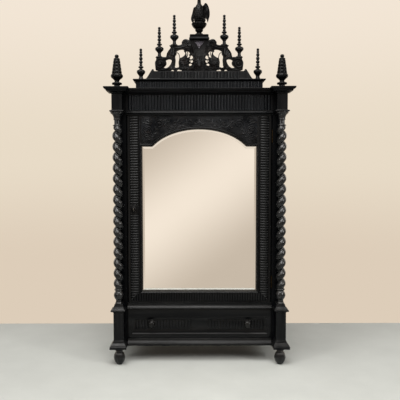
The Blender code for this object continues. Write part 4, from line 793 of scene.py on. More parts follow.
crest = {      # outlines and carving in millimetres, from the middle and the crest's foot
    "front": -0.128, "back": -0.102, "base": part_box("crest_board")[0].z, "proud": 0.010, "y": -0.115,
    "edge": [(126, 0), (128, 7), (133, 13), (141, 16), (150, 15), (158, 10), (162, 3), (162, 0), (182, 0), (184, 6),
        (189, 12), (195, 13), (201, 10), (205, 3), (205, 0), (296, 0), (298, 5), (306, 8), (316, 11), (318, 26),
        (321, 53), (318, 68), (313, 82), (311, 94), (316, 101), (311, 105), (268, 104), (240, 102), (239, 110),
        (230, 130), (222, 144), (212, 156), (204, 168), (210, 178), (216, 186), (207, 188), (199, 190), (163, 190),
        (150, 187), (141, 188), (132, 190), (126, 196), (127, 207), (122, 217), (114, 226), (104, 230), (94, 231),
        (86, 228), (78, 225), (70, 224)],
    "holes": [
        [(240, 80), (228, 86), (214, 88), (203, 84), (199, 76), (203, 60), (209, 48), (218, 36), (228, 28), (238, 24),
         (250, 24), (256, 29), (250, 36), (243, 43), (238, 52), (237, 64), (241, 73)],
        [(176, 30), (173, 45), (172, 60), (170, 80), (172, 95), (173, 107), (168, 120), (166, 130), (164, 140),
         (155, 149), (142, 155), (128, 157), (116, 157), (109, 151), (106, 142), (101, 132), (103, 120), (112, 110),
         (125, 101), (136, 95), (144, 87), (148, 75), (150, 60), (148, 45), (149, 30), (162, 25)],
        [(93, 145), (84, 145), (75, 140), (67, 131), (70, 123), (73, 117), (69, 108), (76, 101), (86, 99), (95, 106),
         (92, 116), (90, 124), (95, 135)],
        [(61, 113), (53, 115), (47, 108), (45, 98), (50, 90), (58, 86), (67, 88), (74, 95), (70, 101), (64, 105)],
        [(60, 79), (51, 82), (43, 76), (45, 68), (54, 61), (63, 63), (70, 71), (69, 79)],
        [(75, 48), (71, 55), (64, 58), (55, 54), (53, 47), (60, 41), (69, 39)],
    ],
    "console": [(50, 0), (47, 14), (42, 34, 1), (36, 60, 1), (33, 90, 1), (35, 120, 1), (44, 156, 1), (58, 190, 1),
                (70, 222)],
    "vine": [(168, 127), (163, 134, 1), (155, 133, 1), (147, 124, 1), (143, 110, 1), (141, 92, 1), (142, 84)],
    "disc": (109, 65), "discWide": 37, "discRing": 34, "flower": 31, "discProud": 0.0015,
}
carving = {
    "strokes": [      # as lift, widths and path
        # the big volute at the end
        (6.0, (8, 11, 10, 8, 6), scroll((284, 54), 41, 9, 120, 1.55, -1, 44)),
        (5.0, (4, 7, 8, 7, 4), [(316, 99), (300, 98), (280, 97), (258, 97), (243, 96)]),
        # its foot, running in under the crescent
        (5.0, (6, 11, 11, 9, 6), [(292, 10), (270, 9), (248, 12), (228, 18), (212, 26), (203, 36)]),
        # the beaded stem and the arm's edge
        (3.0, (11, 14, 14, 15, 12), [(190, 14), (188, 34), (187, 56), (188, 78), (192, 98)]),
        (5.0, (5, 6, 6, 6, 5, 3), [(236, 108), (231, 128), (221, 145), (210, 158), (204, 170), (213, 184)]),
        # the arm under the finial, and the curl at its end
        (5.2, (4, 8, 9, 8, 5), [(208, 184), (190, 183), (168, 182), (150, 180), (134, 181)]),
        (4.6, (4, 8, 9, 9, 8, 5), [(178, 170), (160, 168), (142, 168), (124, 172), (106, 178), (88, 184)]),
        (5.4, (6.5, 7, 5.5, 4), scroll((103, 209), 18, 4, -160, 1.35, -1, 30)),
        # the low band along the podium, and the bridge between the openings
        (4.0, (4, 5.5, 5.5, 5, 4), [(176 - 8 * i, 15 + 6 * math.sin(i * 0.9)) for i in range(17)]),
        (4.0, (5, 4, 3), scroll((62, 26), 11, 2.5, 200, 1.2, 1, 20)),
        (3.6, (5, 6, 6, 5, 4), [(96, 98), (86, 108), (82, 122), (84, 136), (98, 150)]),
    ],
    "leaves": [      # as width, lift and (root, tip, bend)
        (10, 3.6, [((290, 18), (312, 22), 0), ((290, 18), (303, 9), 0)]),
        (9, 3.6, [((262, 10), (250, 22), 0), ((240, 12), (226, 26), 0), ((222, 16), (208, 10), 0)]),
        (15, 6.0, [((190, 100), (230, 118), -0.10), ((190, 100), (184, 180), 0.02)]),
        (16, 6.0, [((190, 100), (226, 138), -0.12), ((190, 100), (214, 155), -0.12), ((190, 100), (200, 170), -0.08)]),
        (11, 6.0, [((190, 100), (174, 168), 0.08)]),
        (12, 4.6, [((72, 178), (118, 190), 0.10), ((70, 190), (92, 224), -0.12), ((64, 166), (104, 168), 0.10),
                   ((62, 152), (94, 156), 0.12), ((88, 196), (76, 216), -0.1)]),
        (10, 4.2, [((118, 92), (146, 84), 0.16), ((104, 95), (84, 118), 0.12), ((132, 84), (146, 60), -0.10),
                   ((132, 38), (147, 46), 0.12), ((84, 84), (66, 100), 0.1), ((80, 62), (60, 70), 0.1),
                   ((82, 44), (66, 62), -0.1), ((62, 120), (50, 134), 0.1), ((60, 140), (72, 150), 0.1),
                   ((46, 58), (42, 84), 0.1)]),
        (9, 3.8, [((160, 12), (152, 28), -0.15), ((140, 12), (132, 32), 0.15), ((118, 12), (110, 26), -0.15),
                  ((98, 12), (90, 30), 0.15), ((78, 12), (70, 22), -0.15), ((60, 12), (52, 34), 0.15)]),
    ],
    # as centre, radius and lift
    "buttons": [((284, 54), 9, 7), ((103, 209), 4.5, 6)]
               + [((188 + 0.4 * abs(i - 2), 26 + 12.5 * i), 4.6, 6.6) for i in range(6)],
}


def crestPlace(sign, proud=0.0):
    return lambda u, v, w: Vector((sign * u / 1000, crest["front"] - proud - w / 1000, crest["base"] + v / 1000))


def crestPoints(points):
    return lifted(mm(points), crest["base"])


def piercedBoard(bm):
    edge = crestPoints(crest["edge"])
    outlines = [edge + flipped(edge)]
    for hole in crest["holes"]:
        half = crestPoints(roundLoop(hole, 3))
        outlines += [half, flipped(half)]
    sawn(bm, outlines, crest["front"], crest["back"], 0.0014)


acanthus = {      # on the console
    "ridges": 6, "ridgeLow": 112, "ridgeStep": 7.2, "ridgeHalf": 29, "ridgeSpread": 1.6, "ridgeLift": 3.2,
    "ridgeWidths": (3.0, 5.6, 5.8, 5.6, 3.0), "curlWidths": (5.5, 4.5, 3.2), "lift": 4.2,
    "edge": [(66, 219), (60, 200), (52, 180), (45, 164), (39, 150)], "edgeWidths": (5, 6, 6, 5, 3),
    "root": (3, 98), "tips": (((12, 22), 0.05), ((27, 30), 0.14), ((38, 52), 0.20), ((34, 76), 0.22)),
    "curls": (((24, 92), 12, 2.5, -100, 1.3), ((31, 14), 12, 2.5, 90, 1.25)),
}


def console(bm):
    half = crestPoints(bent(crest["console"]))
    sawn(bm, [half + flipped(half)], crest["front"] - crest["proud"], crest["front"] + 0.004, 0.0018)
    place, lift = crestPlace(1, crest["proud"]), acanthus["lift"]
    for i in range(acanthus["ridges"]):      # across the neck
        v = acanthus["ridgeLow"] + acanthus["ridgeStep"] * i
        half = acanthus["ridgeHalf"] + acanthus["ridgeSpread"] * i
        ridge = [(-half, v), (-half * 0.5, v - 0.8), (0, v - 1.2), (half * 0.5, v - 0.8), (half, v)]
        stroke(bm, ridge, acanthus["ridgeWidths"], acanthus["ridgeLift"], place)
    for sign in (-1, 1):
        turned = crestPlace(sign, crest["proud"])
        stroke(bm, acanthus["edge"], acanthus["edgeWidths"], lift, turned)
        for tip, bend in acanthus["tips"]:
            leaf(bm, acanthus["root"], tip, 15, 5.5, turned, bend=-bend)
        for curl in acanthus["curls"]:
            stroke(bm, scroll(*curl, points=22), acanthus["curlWidths"], lift, turned)
    leaf(bm, (0, 100), (0, 20), 15, 6.5, place)
    button(bm, (0, 104), 6.5, 6, place)


def consoleShell():      # its ribs open out under the slab
    bm = bmesh.new()
    place = crestPlace(1, crest["proud"])
    for i in range(-4, 5):
        angle = math.radians(90 - i * 9.5)
        ends = [(reach * math.cos(angle), 168 + reach * math.sin(angle)) for reach in (4, 46 / math.sin(angle))]
        leaf(bm, *ends, 7.6, 8.0, place, steps=8, curl=3.0)
    button(bm, (0, 166), 5, 6, place)
    fitted("console_shell", bm, shellHighlightBlack, "carcass", "crest_board", 42)


def scrolls(bm, sign):
    place = crestPlace(sign)
    for lift, widths, path in carving["strokes"]:
        stroke(bm, path, widths, lift, place)
    for width, lift, leaves in carving["leaves"]:
        for root, tip, bend in leaves:
            leaf(bm, root, tip, width, lift, place, bend=bend)
    for centre, radius, lift in carving["buttons"]:
        button(bm, centre, radius, lift, place)
    # rosette
    disc = crestPoints(oval(*crest["disc"], crest["discWide"], crest["discWide"], 40))
    sawn(bm, [[(sign * x, z) for x, z in disc]], crest["front"] - crest["discProud"], crest["back"] + 0.004, 0.0012)
    raised = crestPlace(sign, crest["discProud"])
    flower(bm, crest["disc"], crest["flower"], 8, 5.5, raised, 0.2)
    stroke(bm, oval(*crest["disc"], crest["discRing"], crest["discRing"], 36, 1), (4.6, 4.6), 3.6, raised)


def vine(bm, sign):      # the thin tendril that crosses the tall opening, with a bead at each end
    middle = (crest["front"] + crest["back"]) / 2
    path = bent(crest["vine"], 5)
    rings = []
    for i, (u, v) in enumerate(path):
        along = direction(path, i)
        ring = []
        for out, deep in oval(0, 0, 2.9, 0.005, 8):
            x, z = sign * (u - along.y * out), v + along.x * out
            ring.append((x / 1000, middle + deep, crest["base"] + z / 1000))
        rings.append(ring)
    loft(bm, rings)
    bead = mm([(0, -6), (4.55, -4), (6.5, 0), (4.55, 4), (0, 6)])
    for x, z in crestPoints([(170, 122), (104, 144)]):
        turnOn(bm, bead, (sign * x, middle, z), 12, tilt=lying)


slab = {      # profile as (reach, height from its foot); the seats are the platforms that carry the finials
    "up": 0.222, "half": 0.073, "deep": 0.045,
    "beadX": 0.065, "beadY": 0.037, "beadUp": 0.0322, "along": 17, "across": 9,
    "profile": mm([(-12, 0), (-6, 1), (-0.8, 3.5, 1), (-0.2, 8.5, 1), (-3, 15.5, 1), (-7.5, 21.5), (-10, 22.6),
                   (-10, 26.2), (-8.2, 27.2), (-8, 36.8), (-8.8, 37.6)]),
    "bead": mm([(0, -3.6), (2.4, -2.8), (3.8, 0), (2.4, 2.8), (0, 3.6)]),
    "seats": [(290, 106), (181, 192)], "seatHalf": 0.022,
    "seatProfile": mm([(-4, -6), (-1, -5, 1), (0, -2.8, 1), (-0.5, 0)]),
}


def crestSlab():
    bm = bmesh.new()
    low, y, x, front = crest["base"] + slab["up"], crest["y"], slab["beadX"], crest["y"] - slab["beadY"]
    plan = oblong(-slab["half"], slab["half"], y - slab["deep"], y + slab["deep"])
    storeys(bm, plan, lifted(bent(slab["profile"]), low))
    spots = [(-x + 2 * x * (i + 0.5) / slab["along"], front) for i in range(slab["along"])]
    for sign in (-1, 1):
        spots += [(sign * x, front + 2 * slab["beadY"] * (i + 0.5) / slab["across"]) for i in range(slab["across"])]
    for bx, by in spots:      # beading along the slab's edge
        turnOn(bm, slab["bead"], (bx, by, low + slab["beadUp"]), 8)
    fitted("crest_slab", bm, shadedBlack, "carcass", "crest_board", 42)


def seats(bm, sign):
    half, y = slab["seatHalf"], crest["y"]
    for x, top in crestPoints(slab["seats"]):
        plan = oblong(sign * x - half, sign * x + half, y - half, y + half)
        storeys(bm, plan, lifted(bent(slab["seatProfile"], 3), top))


def carvedCrest():
    bm = bmesh.new()
    piercedBoard(bm)
    console(bm)
    for sign in (-1, 1):
        scrolls(bm, sign)
        vine(bm, sign)
        seats(bm, sign)
    fitted("carved_crest", bm, carvedBlack, "carcass", "crest_board", 42)


carvedCrest()
crestSlab()
consoleShell()
print("crest carved")

bird = {      # body as (height, half width, half depth, forward); wings in thousandths of the bird's height
    "seat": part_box("bird_finial")[0].z, "rise": 0.290, "y": -0.115,
    "urn": mm([(0, 0), (28, 0), (28.2, 5), (27.5, 9), (22.5, 12, 1), (17.2, 15, 1), (17, 18, 1), (20.5, 21.5, 1),
               (24.7, 25.5, 1), (28, 32, 1), (29, 38.5, 1), (28, 43), (34.5, 48, 1), (41.5, 54, 1), (47.5, 61, 1),
               (52, 69, 1), (54.2, 74.5), (55, 78, 1), (54.8, 81), (53, 83.5), (47, 85.5, 1), (38, 90, 1), (30, 93.5),
               (0, 95)]),
    "body": [tuple(value / 1000 for value in row) for row in [(86, 9, 7, 4), (93, 18, 14, 3), (104, 27.5, 22.5, 2),
        (118, 32, 28, 0), (134, 33.5, 31, -1), (150, 33.5, 31.5, -2), (166, 33, 31, -3), (180, 32.5, 29, -4),
        (192, 31, 26.5, -5), (201, 27, 23.5, -5), (209, 20.5, 19, -6), (217, 15, 15, -6.5), (228, 13.4, 13.5, -7),
        (250, 12.2, 12.5, -9), (260, 12.4, 13.5, -10), (269, 12.5, 15, -11), (278, 12.5, 15.2, -12),
        (285, 9.5, 12, -12), (289.5, 4, 5.5, -12)]],
    "wings": {
        -1: mm([(-20, 640), (-80, 688), (-112, 690), (-135, 672), (-150, 630), (-160, 583), (-178, 515), (-196, 452),
                (-203, 408), (-196, 365), (-178, 325), (-146, 296), (-132, 330), (-128, 375), (-126, 410), (-112, 435),
                (-95, 460), (-28, 500)]),
        1: mm([(20, 640), (85, 700), (116, 708), (127, 745), (133, 772), (150, 786), (168, 788), (190, 775),
               (211, 750), (240, 685), (260, 600), (266, 540), (262, 466), (241, 393), (214, 309), (198, 362),
               (172, 430), (142, 492), (120, 505), (28, 520)]),
    },
    # flight feathers and coverts: count, width and lift, then root and tip, each value as (first, added by the last)
    "feathers": {
        -1: [(7, 0.0115, 0.0022, (0.045, 0.084), (0.58, 0.08), (0.070, 0.106), (0.455, -0.105)),
             (6, 0.0105, 0.0030, (0.035, 0.084), (0.635, 0.045), (0.060, 0.092), (0.545, 0.015))],
        1: [(7, 0.0115, 0.0022, (0.045, 0.105), (0.58, 0.10), (0.070, 0.155), (0.455, -0.085)),
            (6, 0.0105, 0.0030, (0.035, 0.105), (0.635, 0.095), (0.060, 0.115), (0.545, 0.065))],
    },
    "wingEdge": {-1: mm([(-30, 635), (-80, 672, 1), (-112, 672, 1), (-132, 650)]),
                 1: mm([(30, 635), (80, 690, 1), (112, 715, 1), (150, 768)])},
    "beak": mm([(0, 7.8, 0), (8, 6.2, 0.0002), (16, 4.4, 0.0012), (22, 2.8, 0.0034), (25, 1, 0.0062)]),
    "eye": mm([(0, -2.2), (1.8, -1.2), (2.4, 0), (1.8, 1.2), (0, 2.2)]),
    "lobes": {"count": 12, "depth": 0.11, "low": 0.050, "high": 0.0755, "fadeIn": 0.008, "fadeOut": 0.004},
    "breast": {"rows": 9, "low": 0.108, "step": 0.0125, "neck": 0.175, "wide": (13, 0.0085), "slim": (9, 0.0062)},
    "headY": -0.012, "headUp": 0.273, "turned": 32,
    "thighs": ((-0.0215, 0.0150), (0.0290, 0.0185)),      # the second one wider, as the bird turns
    "thigh": ((0.090, 0.35), (0.096, 0.70), (0.104, 0.95), (0.116, 1.0), (0.130, 0.92), (0.143, 0.66), (0.152, 0.30)),
}


def bodyAt(height):
    for low, high in zip(bird["body"], bird["body"][1:]):
        if low[0] <= height <= high[0]:
            t = (height - low[0]) / (high[0] - low[0])
            return tuple(low[n] + (high[n] - low[n]) * t for n in (1, 2, 3))


def urnAndBody(bm):
    seat, y, lobes, breast = bird["seat"], bird["y"], bird["lobes"], bird["breast"]

    def gadrooned(angle, height):
        fade = min(1, (height - lobes["low"]) / lobes["fadeIn"], (lobes["high"] - height) / lobes["fadeOut"])
        return 1 - lobes["depth"] * max(0, fade) * (1 - abs(math.cos(lobes["count"] / 2 * angle)) ** 0.8)
    turnOn(bm, bent(bird["urn"]), (0, y, seat), 64, gadrooned)
    loft(bm, [[(*point, seat + height) for point in oval(0, y + forward, wide, deep, 28)]
              for height, wide, deep, forward in bird["body"]])
    for row in range(breast["rows"]):      # scale-like feathers on the breast and the neck
        height = breast["low"] + breast["step"] * row
        wide, deep, forward = bodyAt(height)
        count, size = breast["wide" if height < breast["neck"] else "slim"]
        for k in range(count):
            angle = fullTurn * (k + 0.5 * (row % 2)) / count
            out = Vector((math.cos(angle), math.sin(angle), 0))
            centre = Vector((wide * out.x, y + forward + deep * out.y, seat + height))
            across = Vector((-out.y, out.x, 0))
            place = lambda u, v, w: centre + across * u + Vector((0, 0, v)) + out * w
            leaf(bm, (0, size * 0.9), (0, -size * 1.1), size * 1.75, 0.0016, place, steps=4)


def beakAndEyes(bm):      # turned to one side, the beak hooked a little
    head = Vector((0, bird["y"] + bird["headY"], bird["seat"] + bird["headUp"]))
    turned = Euler((0, 0, math.radians(bird["turned"]))).to_matrix()
    beak = [(t, oval(0, -drop, 0.62 * r, r, 10)) for t, r, drop in bird["beak"]]
    loft(bm, [[head + turned @ Vector((x, -0.007 - t, z)) for x, z in ring] for t, ring in beak])
    for sign in (-1, 1):
        turnOn(bm, bird["eye"], head + turned @ Vector((sign * 0.0108, -0.0055, 0.0035)), 10)


def wing(bm, sign):      # a thin board with long feathers below and short ones over them
    rise, seat, y = bird["rise"], bird["seat"], bird["y"]
    front, back = y - 0.0045, y + 0.0055
    sawn(bm, [[(rise * x, seat + rise * z) for x, z in roundLoop(bird["wings"][sign], 2)]], front, back, 0.0022)
    for face, out in ((front, 1), (back, -1)):
        place = lambda u, v, w: Vector((u, face - out * w, seat + v))
        for count, width, lift, *ends in bird["feathers"][sign]:
            for i in range(count):
                x0, z0, x1, z1 = [rise * (first + more * i / (count - 1)) for first, more in ends]
                leaf(bm, (sign * x0, z0), (sign * x1, z1), width, lift, place, bend=-0.05 * sign)
        edge = [(rise * x, rise * z) for x, z in bent(bird["wingEdge"][sign])]
        stroke(bm, edge, (0.008, 0.010, 0.009, 0.005), 0.0042, place)


def legsAndTail(bm):
    rise, seat, y = bird["rise"], bird["seat"], bird["y"]
    for u, wide in bird["thighs"]:
        rings = []
        for height, share in bird["thigh"]:
            x = u * (1.06 - 0.9 * max(0, height - 0.110) / 0.05)
            rings.append([(*point, seat + height) for point in oval(x, y + 0.003, wide * share, 0.017 * share, 20)])
        loft(bm, rings)
    tail = lambda u, v, w: Vector((u, y + 0.022 + w + (0.62 - v / rise) * 0.018, seat + v))
    for i in range(-2, 3):      # behind the urn's rim
        leaf(bm, (0.004 * i, rise * 0.46), (0.010 * i, rise * (0.335 + 0.012 * abs(i))), 0.013, 0.0035, tail)
    foot = lambda u, v, w: Vector((u, y - 0.010 - v, seat + 0.0935 + w))
    for sign in (-1, 1):
        for k in (-1, 0, 1):
            leaf(bm, (sign * 0.013, 0), (sign * 0.013 + 0.007 * k, 0.017), 0.0055, 0.0036, foot, steps=5)
        turnOn(bm, mm([(4.2, 0), (3.8, 10), (6, 20)]), (sign * 0.013, y - 0.011, seat + 0.0925), 10)


def birdOnUrn():
    bm = bmesh.new()
    urnAndBody(bm)
    beakAndEyes(bm)
    for sign in (-1, 1):
        wing(bm, sign)
    legsAndTail(bm)
    fitted("bird_on_urn", bm, birdBlack, "carcass", "bird_finial", 46)


birdOnUrn()
print("bird and urn made")

sidePanels = {      # its mouldings as (reach into the field, depth behind the frame)
    "frame": 0.070, "sink": 0.008, "bars": (0.190, 0.980, 1.060, 1.872), "outer": 0.604, "inner": 0.582,
    "moulding": mm([(-0.5, 2.2), (1.8, 1.8), (4.5, 2.8), (6.8, 5.2), (7.8, 8), (-0.5, 8.5)]),
    "raised": mm([(24, 8.5), (26, 7.2), (50, 4.2), (53, 3), (55, 3)]),
}


def framedSide(side, sign):
    low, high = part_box("side_panel_" + side)
    face, inside = sign * sidePanels["outer"], sign * sidePanels["inner"]
    sunk = face - sign * sidePanels["sink"]
    bm = bmesh.new()
    block(bm, (min(sunk, inside), low.y, low.z), (max(sunk, inside), high.y, high.z))
    a, b, c, d = sidePanels["bars"]
    fields = [oblong(low.y + sidePanels["frame"], high.y - sidePanels["frame"], *bars) for bars in ((a, b), (c, d))]
    sawn(bm, [oblong(low.y, high.y, low.z, high.z)] + fields, face, sunk, 0.0010, side=True)
    for field in fields:      # a small moulding inside each field, and a raised panel
        for key, looped in (("moulding", True), ("raised", False)):
            rings = [(depth, grown(field, -reach)) for reach, depth in sidePanels[key]]
            loft(bm, [[(face - sign * depth, p.x, p.y) for p in ring] for depth, ring in rings], looped)
    fitted("framed_side_" + side, bm, uprightBlack, "carcass", "side_panel_" + side, 30, 0.0007)


for side, sign in sides:
    framedSide(side, sign)
print("sides made")

door = {
    "low": 0.440, "high": 1.7977, "half": 0.523, "back": -0.157, "lipBack": -0.171, "sight": 0.4175, "rebate": 0.4275,
    "shoulder": 1.5785, "sightLow": 0.520, "gap": 0.0003,
    "bandIn": 0.442, "bandOut": 0.501, "bandLow": 0.4500, "bandSight": 0.5065, "bandTop": 1.7917,
    "pitch": 0.0185, "depth": 0.0076, "swell": ((0, 0.55), (0.08, 0.85), (0.2, 1), (0.72, 1), (0.88, 0.72), (1, 0.35)),
    "lockLow": 1.0803, "lockHigh": 1.1574,
    "archHalf": 0.331, "archNib": 0.012, "archSpring": 0.010, "archWide": 0.396, "archTall": 0.252, "archPoints": 44,
    "stile": mm([(417.5, 0), (433.5, 0), (434.5, 1.2), (436.5, 1.2), (437.5, 0), (512, 0), (513, 1.2), (515, 1.2),
                 (516, 0), (520, 0), (523, 3)]),
    "fillet": mm([(0, 1), (0, -3), (-0.5, -3.6)]),
    "lockBlock": mm([(0, 1), (0, -4.8), (-1.6, -6.6), (-2.6, -7.2)]),
}


def archHeight(x):
    def drop(at):
        return door["archTall"] * (1 - math.sqrt(1 - (at / door["archWide"]) ** 2))
    return door["shoulder"] + door["archSpring"] + drop(door["archHalf"]) - drop(x)


def archSlope(x):
    share = x / door["archWide"]
    return door["archTall"] / door["archWide"] * share / math.sqrt(1 - share * share)


def mirrorOutline():
    half, shoulder = door["sight"], door["shoulder"]
    nib, count = door["archHalf"] + door["archNib"], door["archPoints"]
    arch = [door["archHalf"] * (1 - 2 * i / count) for i in range(count + 1)]
    low = [(-half, door["sightLow"]), (half, door["sightLow"]), (half, shoulder), (nib, shoulder)]
    return low + [(x, archHeight(x)) for x in arch] + [(-nib, shoulder), (-half, shoulder)]


def onDoor(bm, outline, profile, face=doorFace):      # a low block or fillet on the door, or on another face
    framed(bm, outline, lifted(profile, face))


def mitred(share):      # how far a rib of the band reaches at its mitre
    return min(1, max(0, share))


def rippledStile(side, sign):
    back, lip, inner, outer = door["back"], door["lipBack"], door["bandIn"], door["bandOut"]
    section = [(door["half"], back), (door["rebate"], back), (door["rebate"], lip), (door["sight"], lip)]
    section += lifted(door["stile"], doorFace)
    bm = bmesh.new()
    loft(bm, [[(sign * x, y, z) for x, y in section] for z in (door["low"], door["high"])])

    def ends(height):
        share = mitred((height - door["bandLow"]) / (door["bandSight"] - door["bandLow"]))
        return outer - (outer - inner) * share, outer
    spans = [(door["bandLow"], door["bandTop"])]
    if sign < 0:      # the band stops for the lock
        spans = [(door["bandLow"], door["lockLow"]), (door["lockHigh"], door["bandTop"])]
        onDoor(bm, oblong(-outer, -inner, door["lockLow"] + 0.0006, door["lockHigh"] - 0.0006), door["lockBlock"])
    for low, high in spans:
        ribs(bm, low, high, door, ends, facing(doorFace, sign), door["swell"])
    # fillets along the band's edges
    for start, low in ((inner - 0.0030, door["bandSight"]), (outer + 0.0008, door["bandLow"] - 0.002)):
        onDoor(bm, oblong(sign * start, sign * (start + 0.0022), low, door["bandTop"]), door["fillet"])
    fitted("rippled_stile_" + side, bm, rippleBlack, "door", "door_stile_" + side, 48)


def rippledBottomRail():
    bm = bmesh.new()
    half, low, sight = door["sight"] - door["gap"], door["low"], door["sightLow"]
    back, lip, ledge = door["back"], door["lipBack"], sight - 0.010
    section = [(back, low), (back, ledge), (lip, ledge), (lip, sight), (doorFace, sight), (doorFace, low)]
    run(bm, section, -half, half)
    inner, outer, start = door["bandIn"], door["bandOut"], door["bandLow"]

    def ends(x):
        return start, start + (door["bandSight"] - start) * mitred((outer - abs(x)) / (outer - inner))
    ribs(bm, -outer, outer, door, ends, upright(doorFace))
    onDoor(bm, oblong(-outer - 0.003, outer + 0.003, start - 0.0030, start - 0.0008), door["fillet"])
    fitted("rippled_bottom_rail", bm, levelBlack, "door", "door_bottom_rail", 48)


topRail = {      # mouldings as (proud, height); the rest is carved on each half, from the middle and the floor
    "moulding": mm([(1, 1790.5), (-4, 1790.5), (-5.2, 1791.8), (-5.2, 1794.5), (-3, 1796.8), (1, 1797.2)]),
    "bead": mm([(1, 1785.2), (-2.2, 1785.6), (-2.8, 1787), (-2.2, 1788.4), (1, 1788.8)]),
    "reach": {"moulding": 0.4395, "bead": 0.4315}, "borderHalf": 0.335, "borderUp": 0.0225,
    "lift": 0.0052, "rosette": (0.377, 1.6830), "rosetteWide": 0.0190,
    "palmette": 1.7320, "palmetteStep": 25, "palmetteReach": ((0.006, 0.006), (0.042, 0.045)),
    "rings": ((0.0255, 0.0060), (0.0375, 0.0075)),
    # share of the lift, widths and path
    "strokes": [
        (0.85, (4, 7, 8, 8, 7), bent([(392, 1612), (372, 1628, 1), (340, 1652, 1), (318, 1690, 1), (322, 1728, 1),
                                      (300, 1760, 1), (268, 1764)], 5)),
        (1, (8, 8.5, 7, 5), scroll((287, 1734.5), 30, 5, 60, 1.45, 1, 34)),
        (0.85, (6, 7.5, 7.5, 6), bent([(262, 1764), (236, 1752, 1), (216, 1728, 1), (192, 1712, 1), (160, 1716)], 5)),
        (1, (7, 7.5, 6, 4.5), scroll((176, 1738), 23.5, 4, -110, 1.4, -1, 30)),
        (0.85, (6, 7, 6, 4), bent([(160, 1714), (130, 1722, 1), (104, 1742, 1), (78, 1762, 1), (52, 1768)], 5)),
    ],
    "buttons": ((0.287, 1.7345, 0.0055), (0.176, 1.7380, 0.0050)),
    # root, tip, width and bend
    "leaves": [
        ((405, 1618), (418, 1652), 12, 0.15), ((392, 1612), (414, 1606), 10, 0.1),
        ((372, 1628), (350, 1618), 12, -0.15), ((345, 1648), (322, 1640), 13, -0.15),
        ((330, 1668), (300, 1662), 15, -0.15), ((322, 1700), (290, 1690), 15, -0.1),
        ((345, 1738), (392, 1768), 20, 0.12), ((350, 1730), (416, 1746), 18, 0.12),
        ((330, 1748), (352, 1778), 16, -0.1), ((300, 1762), (318, 1780), 12, 0.1),
        ((262, 1764), (232, 1778), 14, 0.12), ((240, 1750), (208, 1772), 16, 0.15),
        ((236, 1752), (252, 1716), 15, 0.15), ((214, 1728), (240, 1700), 14, 0.12),
        ((196, 1714), (222, 1692), 11, 0.1), ((160, 1716), (134, 1704), 12, -0.12),
        ((150, 1742), (124, 1768), 16, 0.15), ((152, 1748), (148, 1778), 13, -0.1),
        ((128, 1724), (98, 1722), 13, -0.15), ((104, 1742), (76, 1736), 13, -0.15),
        ((100, 1746), (96, 1776), 13, 0.15), ((78, 1762), (50, 1750), 11, -0.1)
    ],
}


def spandrel(bm, place):
    lift, centre = topRail["lift"], topRail["rosette"]
    flower(bm, centre, topRail["rosetteWide"], 6, lift, place, 0.3)
    for radius, width in topRail["rings"]:
        stroke(bm, oval(*centre, radius, radius, 36, 1), (width, width), lift * 0.9, place)
    for share, widths, path in topRail["strokes"]:
        stroke(bm, mm(path), [width / 1000 for width in widths], lift * share, place)
    for u, v, radius in topRail["buttons"]:
        button(bm, (u, v), radius, lift * 1.2, place)
    for root, tip, width, bend in topRail["leaves"]:
        leaf(bm, *mm((root, tip)), width / 1000, lift, place, bend=bend)


def carvedTopRail():
    bm = bmesh.new()
    half, top = door["sight"] - door["gap"], door["high"]
    low = [(min(max(x, -half), half), z) for x, z in reversed(mirrorOutline()[2:])]
    sawn(bm, [low + [(half, top), (-half, top)]], doorFace, door["lipBack"], 0.0006)
    for key, reach in topRail["reach"].items():
        run(bm, [(doorFace + proud, height) for proud, height in topRail[key]], -reach, reach)
    border = mm([(429, 1598.5), (370, 1598.5), (348, 1599)])
    for k in range(23):
        x = topRail["borderHalf"] * (1 - k / 22)
        border.append((x, archHeight(x) + topRail["borderUp"] * math.hypot(1, archSlope(x))))
    for sign in (-1, 1):      # a fillet beside the stile, a border along the arch, and the carving
        place = facing(doorFace, sign)
        stroke(bm, mm([(430.5, 1600), (430.5, 1700), (430.5, 1786)]), (0.003, 0.003), 0.0028, place)
        stroke(bm, border, (0.003, 0.003), 0.0026, place)
        spandrel(bm, place)
    place, foot = facing(doorFace), topRail["palmette"]
    for i in range(-3, 4):      # palmette at the middle
        angle = math.radians(90 + i * topRail["palmetteStep"])
        u, v = math.cos(angle), math.sin(angle)
        ends = [(wide * u, foot + tall * v) for wide, tall in topRail["palmetteReach"]]
        leaf(bm, *ends, 0.0125, 0.0046, place, steps=7)
    button(bm, (0, foot), 0.0065, 0.0052, place)
    fitted("carved_top_rail", bm, arcadeBlack, "door", "door_top_rail", 42)


glass = {      # as (reach beyond the sight, depth behind the front)
    "front": -0.1707, "profile": mm([(9.4, 5), (9.4, 4.4), (8.8, 3.8), (-19, 0.1), (-19.2, 0)]),
    "sight": mm([(2, 0), (2, -1.5), (3.2, -3), (4.5, -3), (5.5, -4.2, 1), (8.5, -6.8, 1), (11.5, -6.2, 1),
                 (13.5, -3.6), (14.8, -2.8), (14.8, 0)]),
}


def bevelledMirror():
    bm = bmesh.new()
    onDoor(bm, mirrorOutline(), glass["profile"], glass["front"])
    fitted("bevelled_mirror", bm, mirrorSilver, "door", "mirror_glass", 3)


def sightMoulding():
    bm = bmesh.new()
    framed(bm, mirrorOutline(), lifted(bent(glass["sight"], 3), doorFace - 0.0003), looped=True)
    fitted("sight_moulding", bm, levelBlack, "door", "mirror_bead", 36)


for side, sign in sides:
    rippledStile(side, sign)
rippledBottomRail()
carvedTopRail()
bevelledMirror()
sightMoulding()
print("door made")

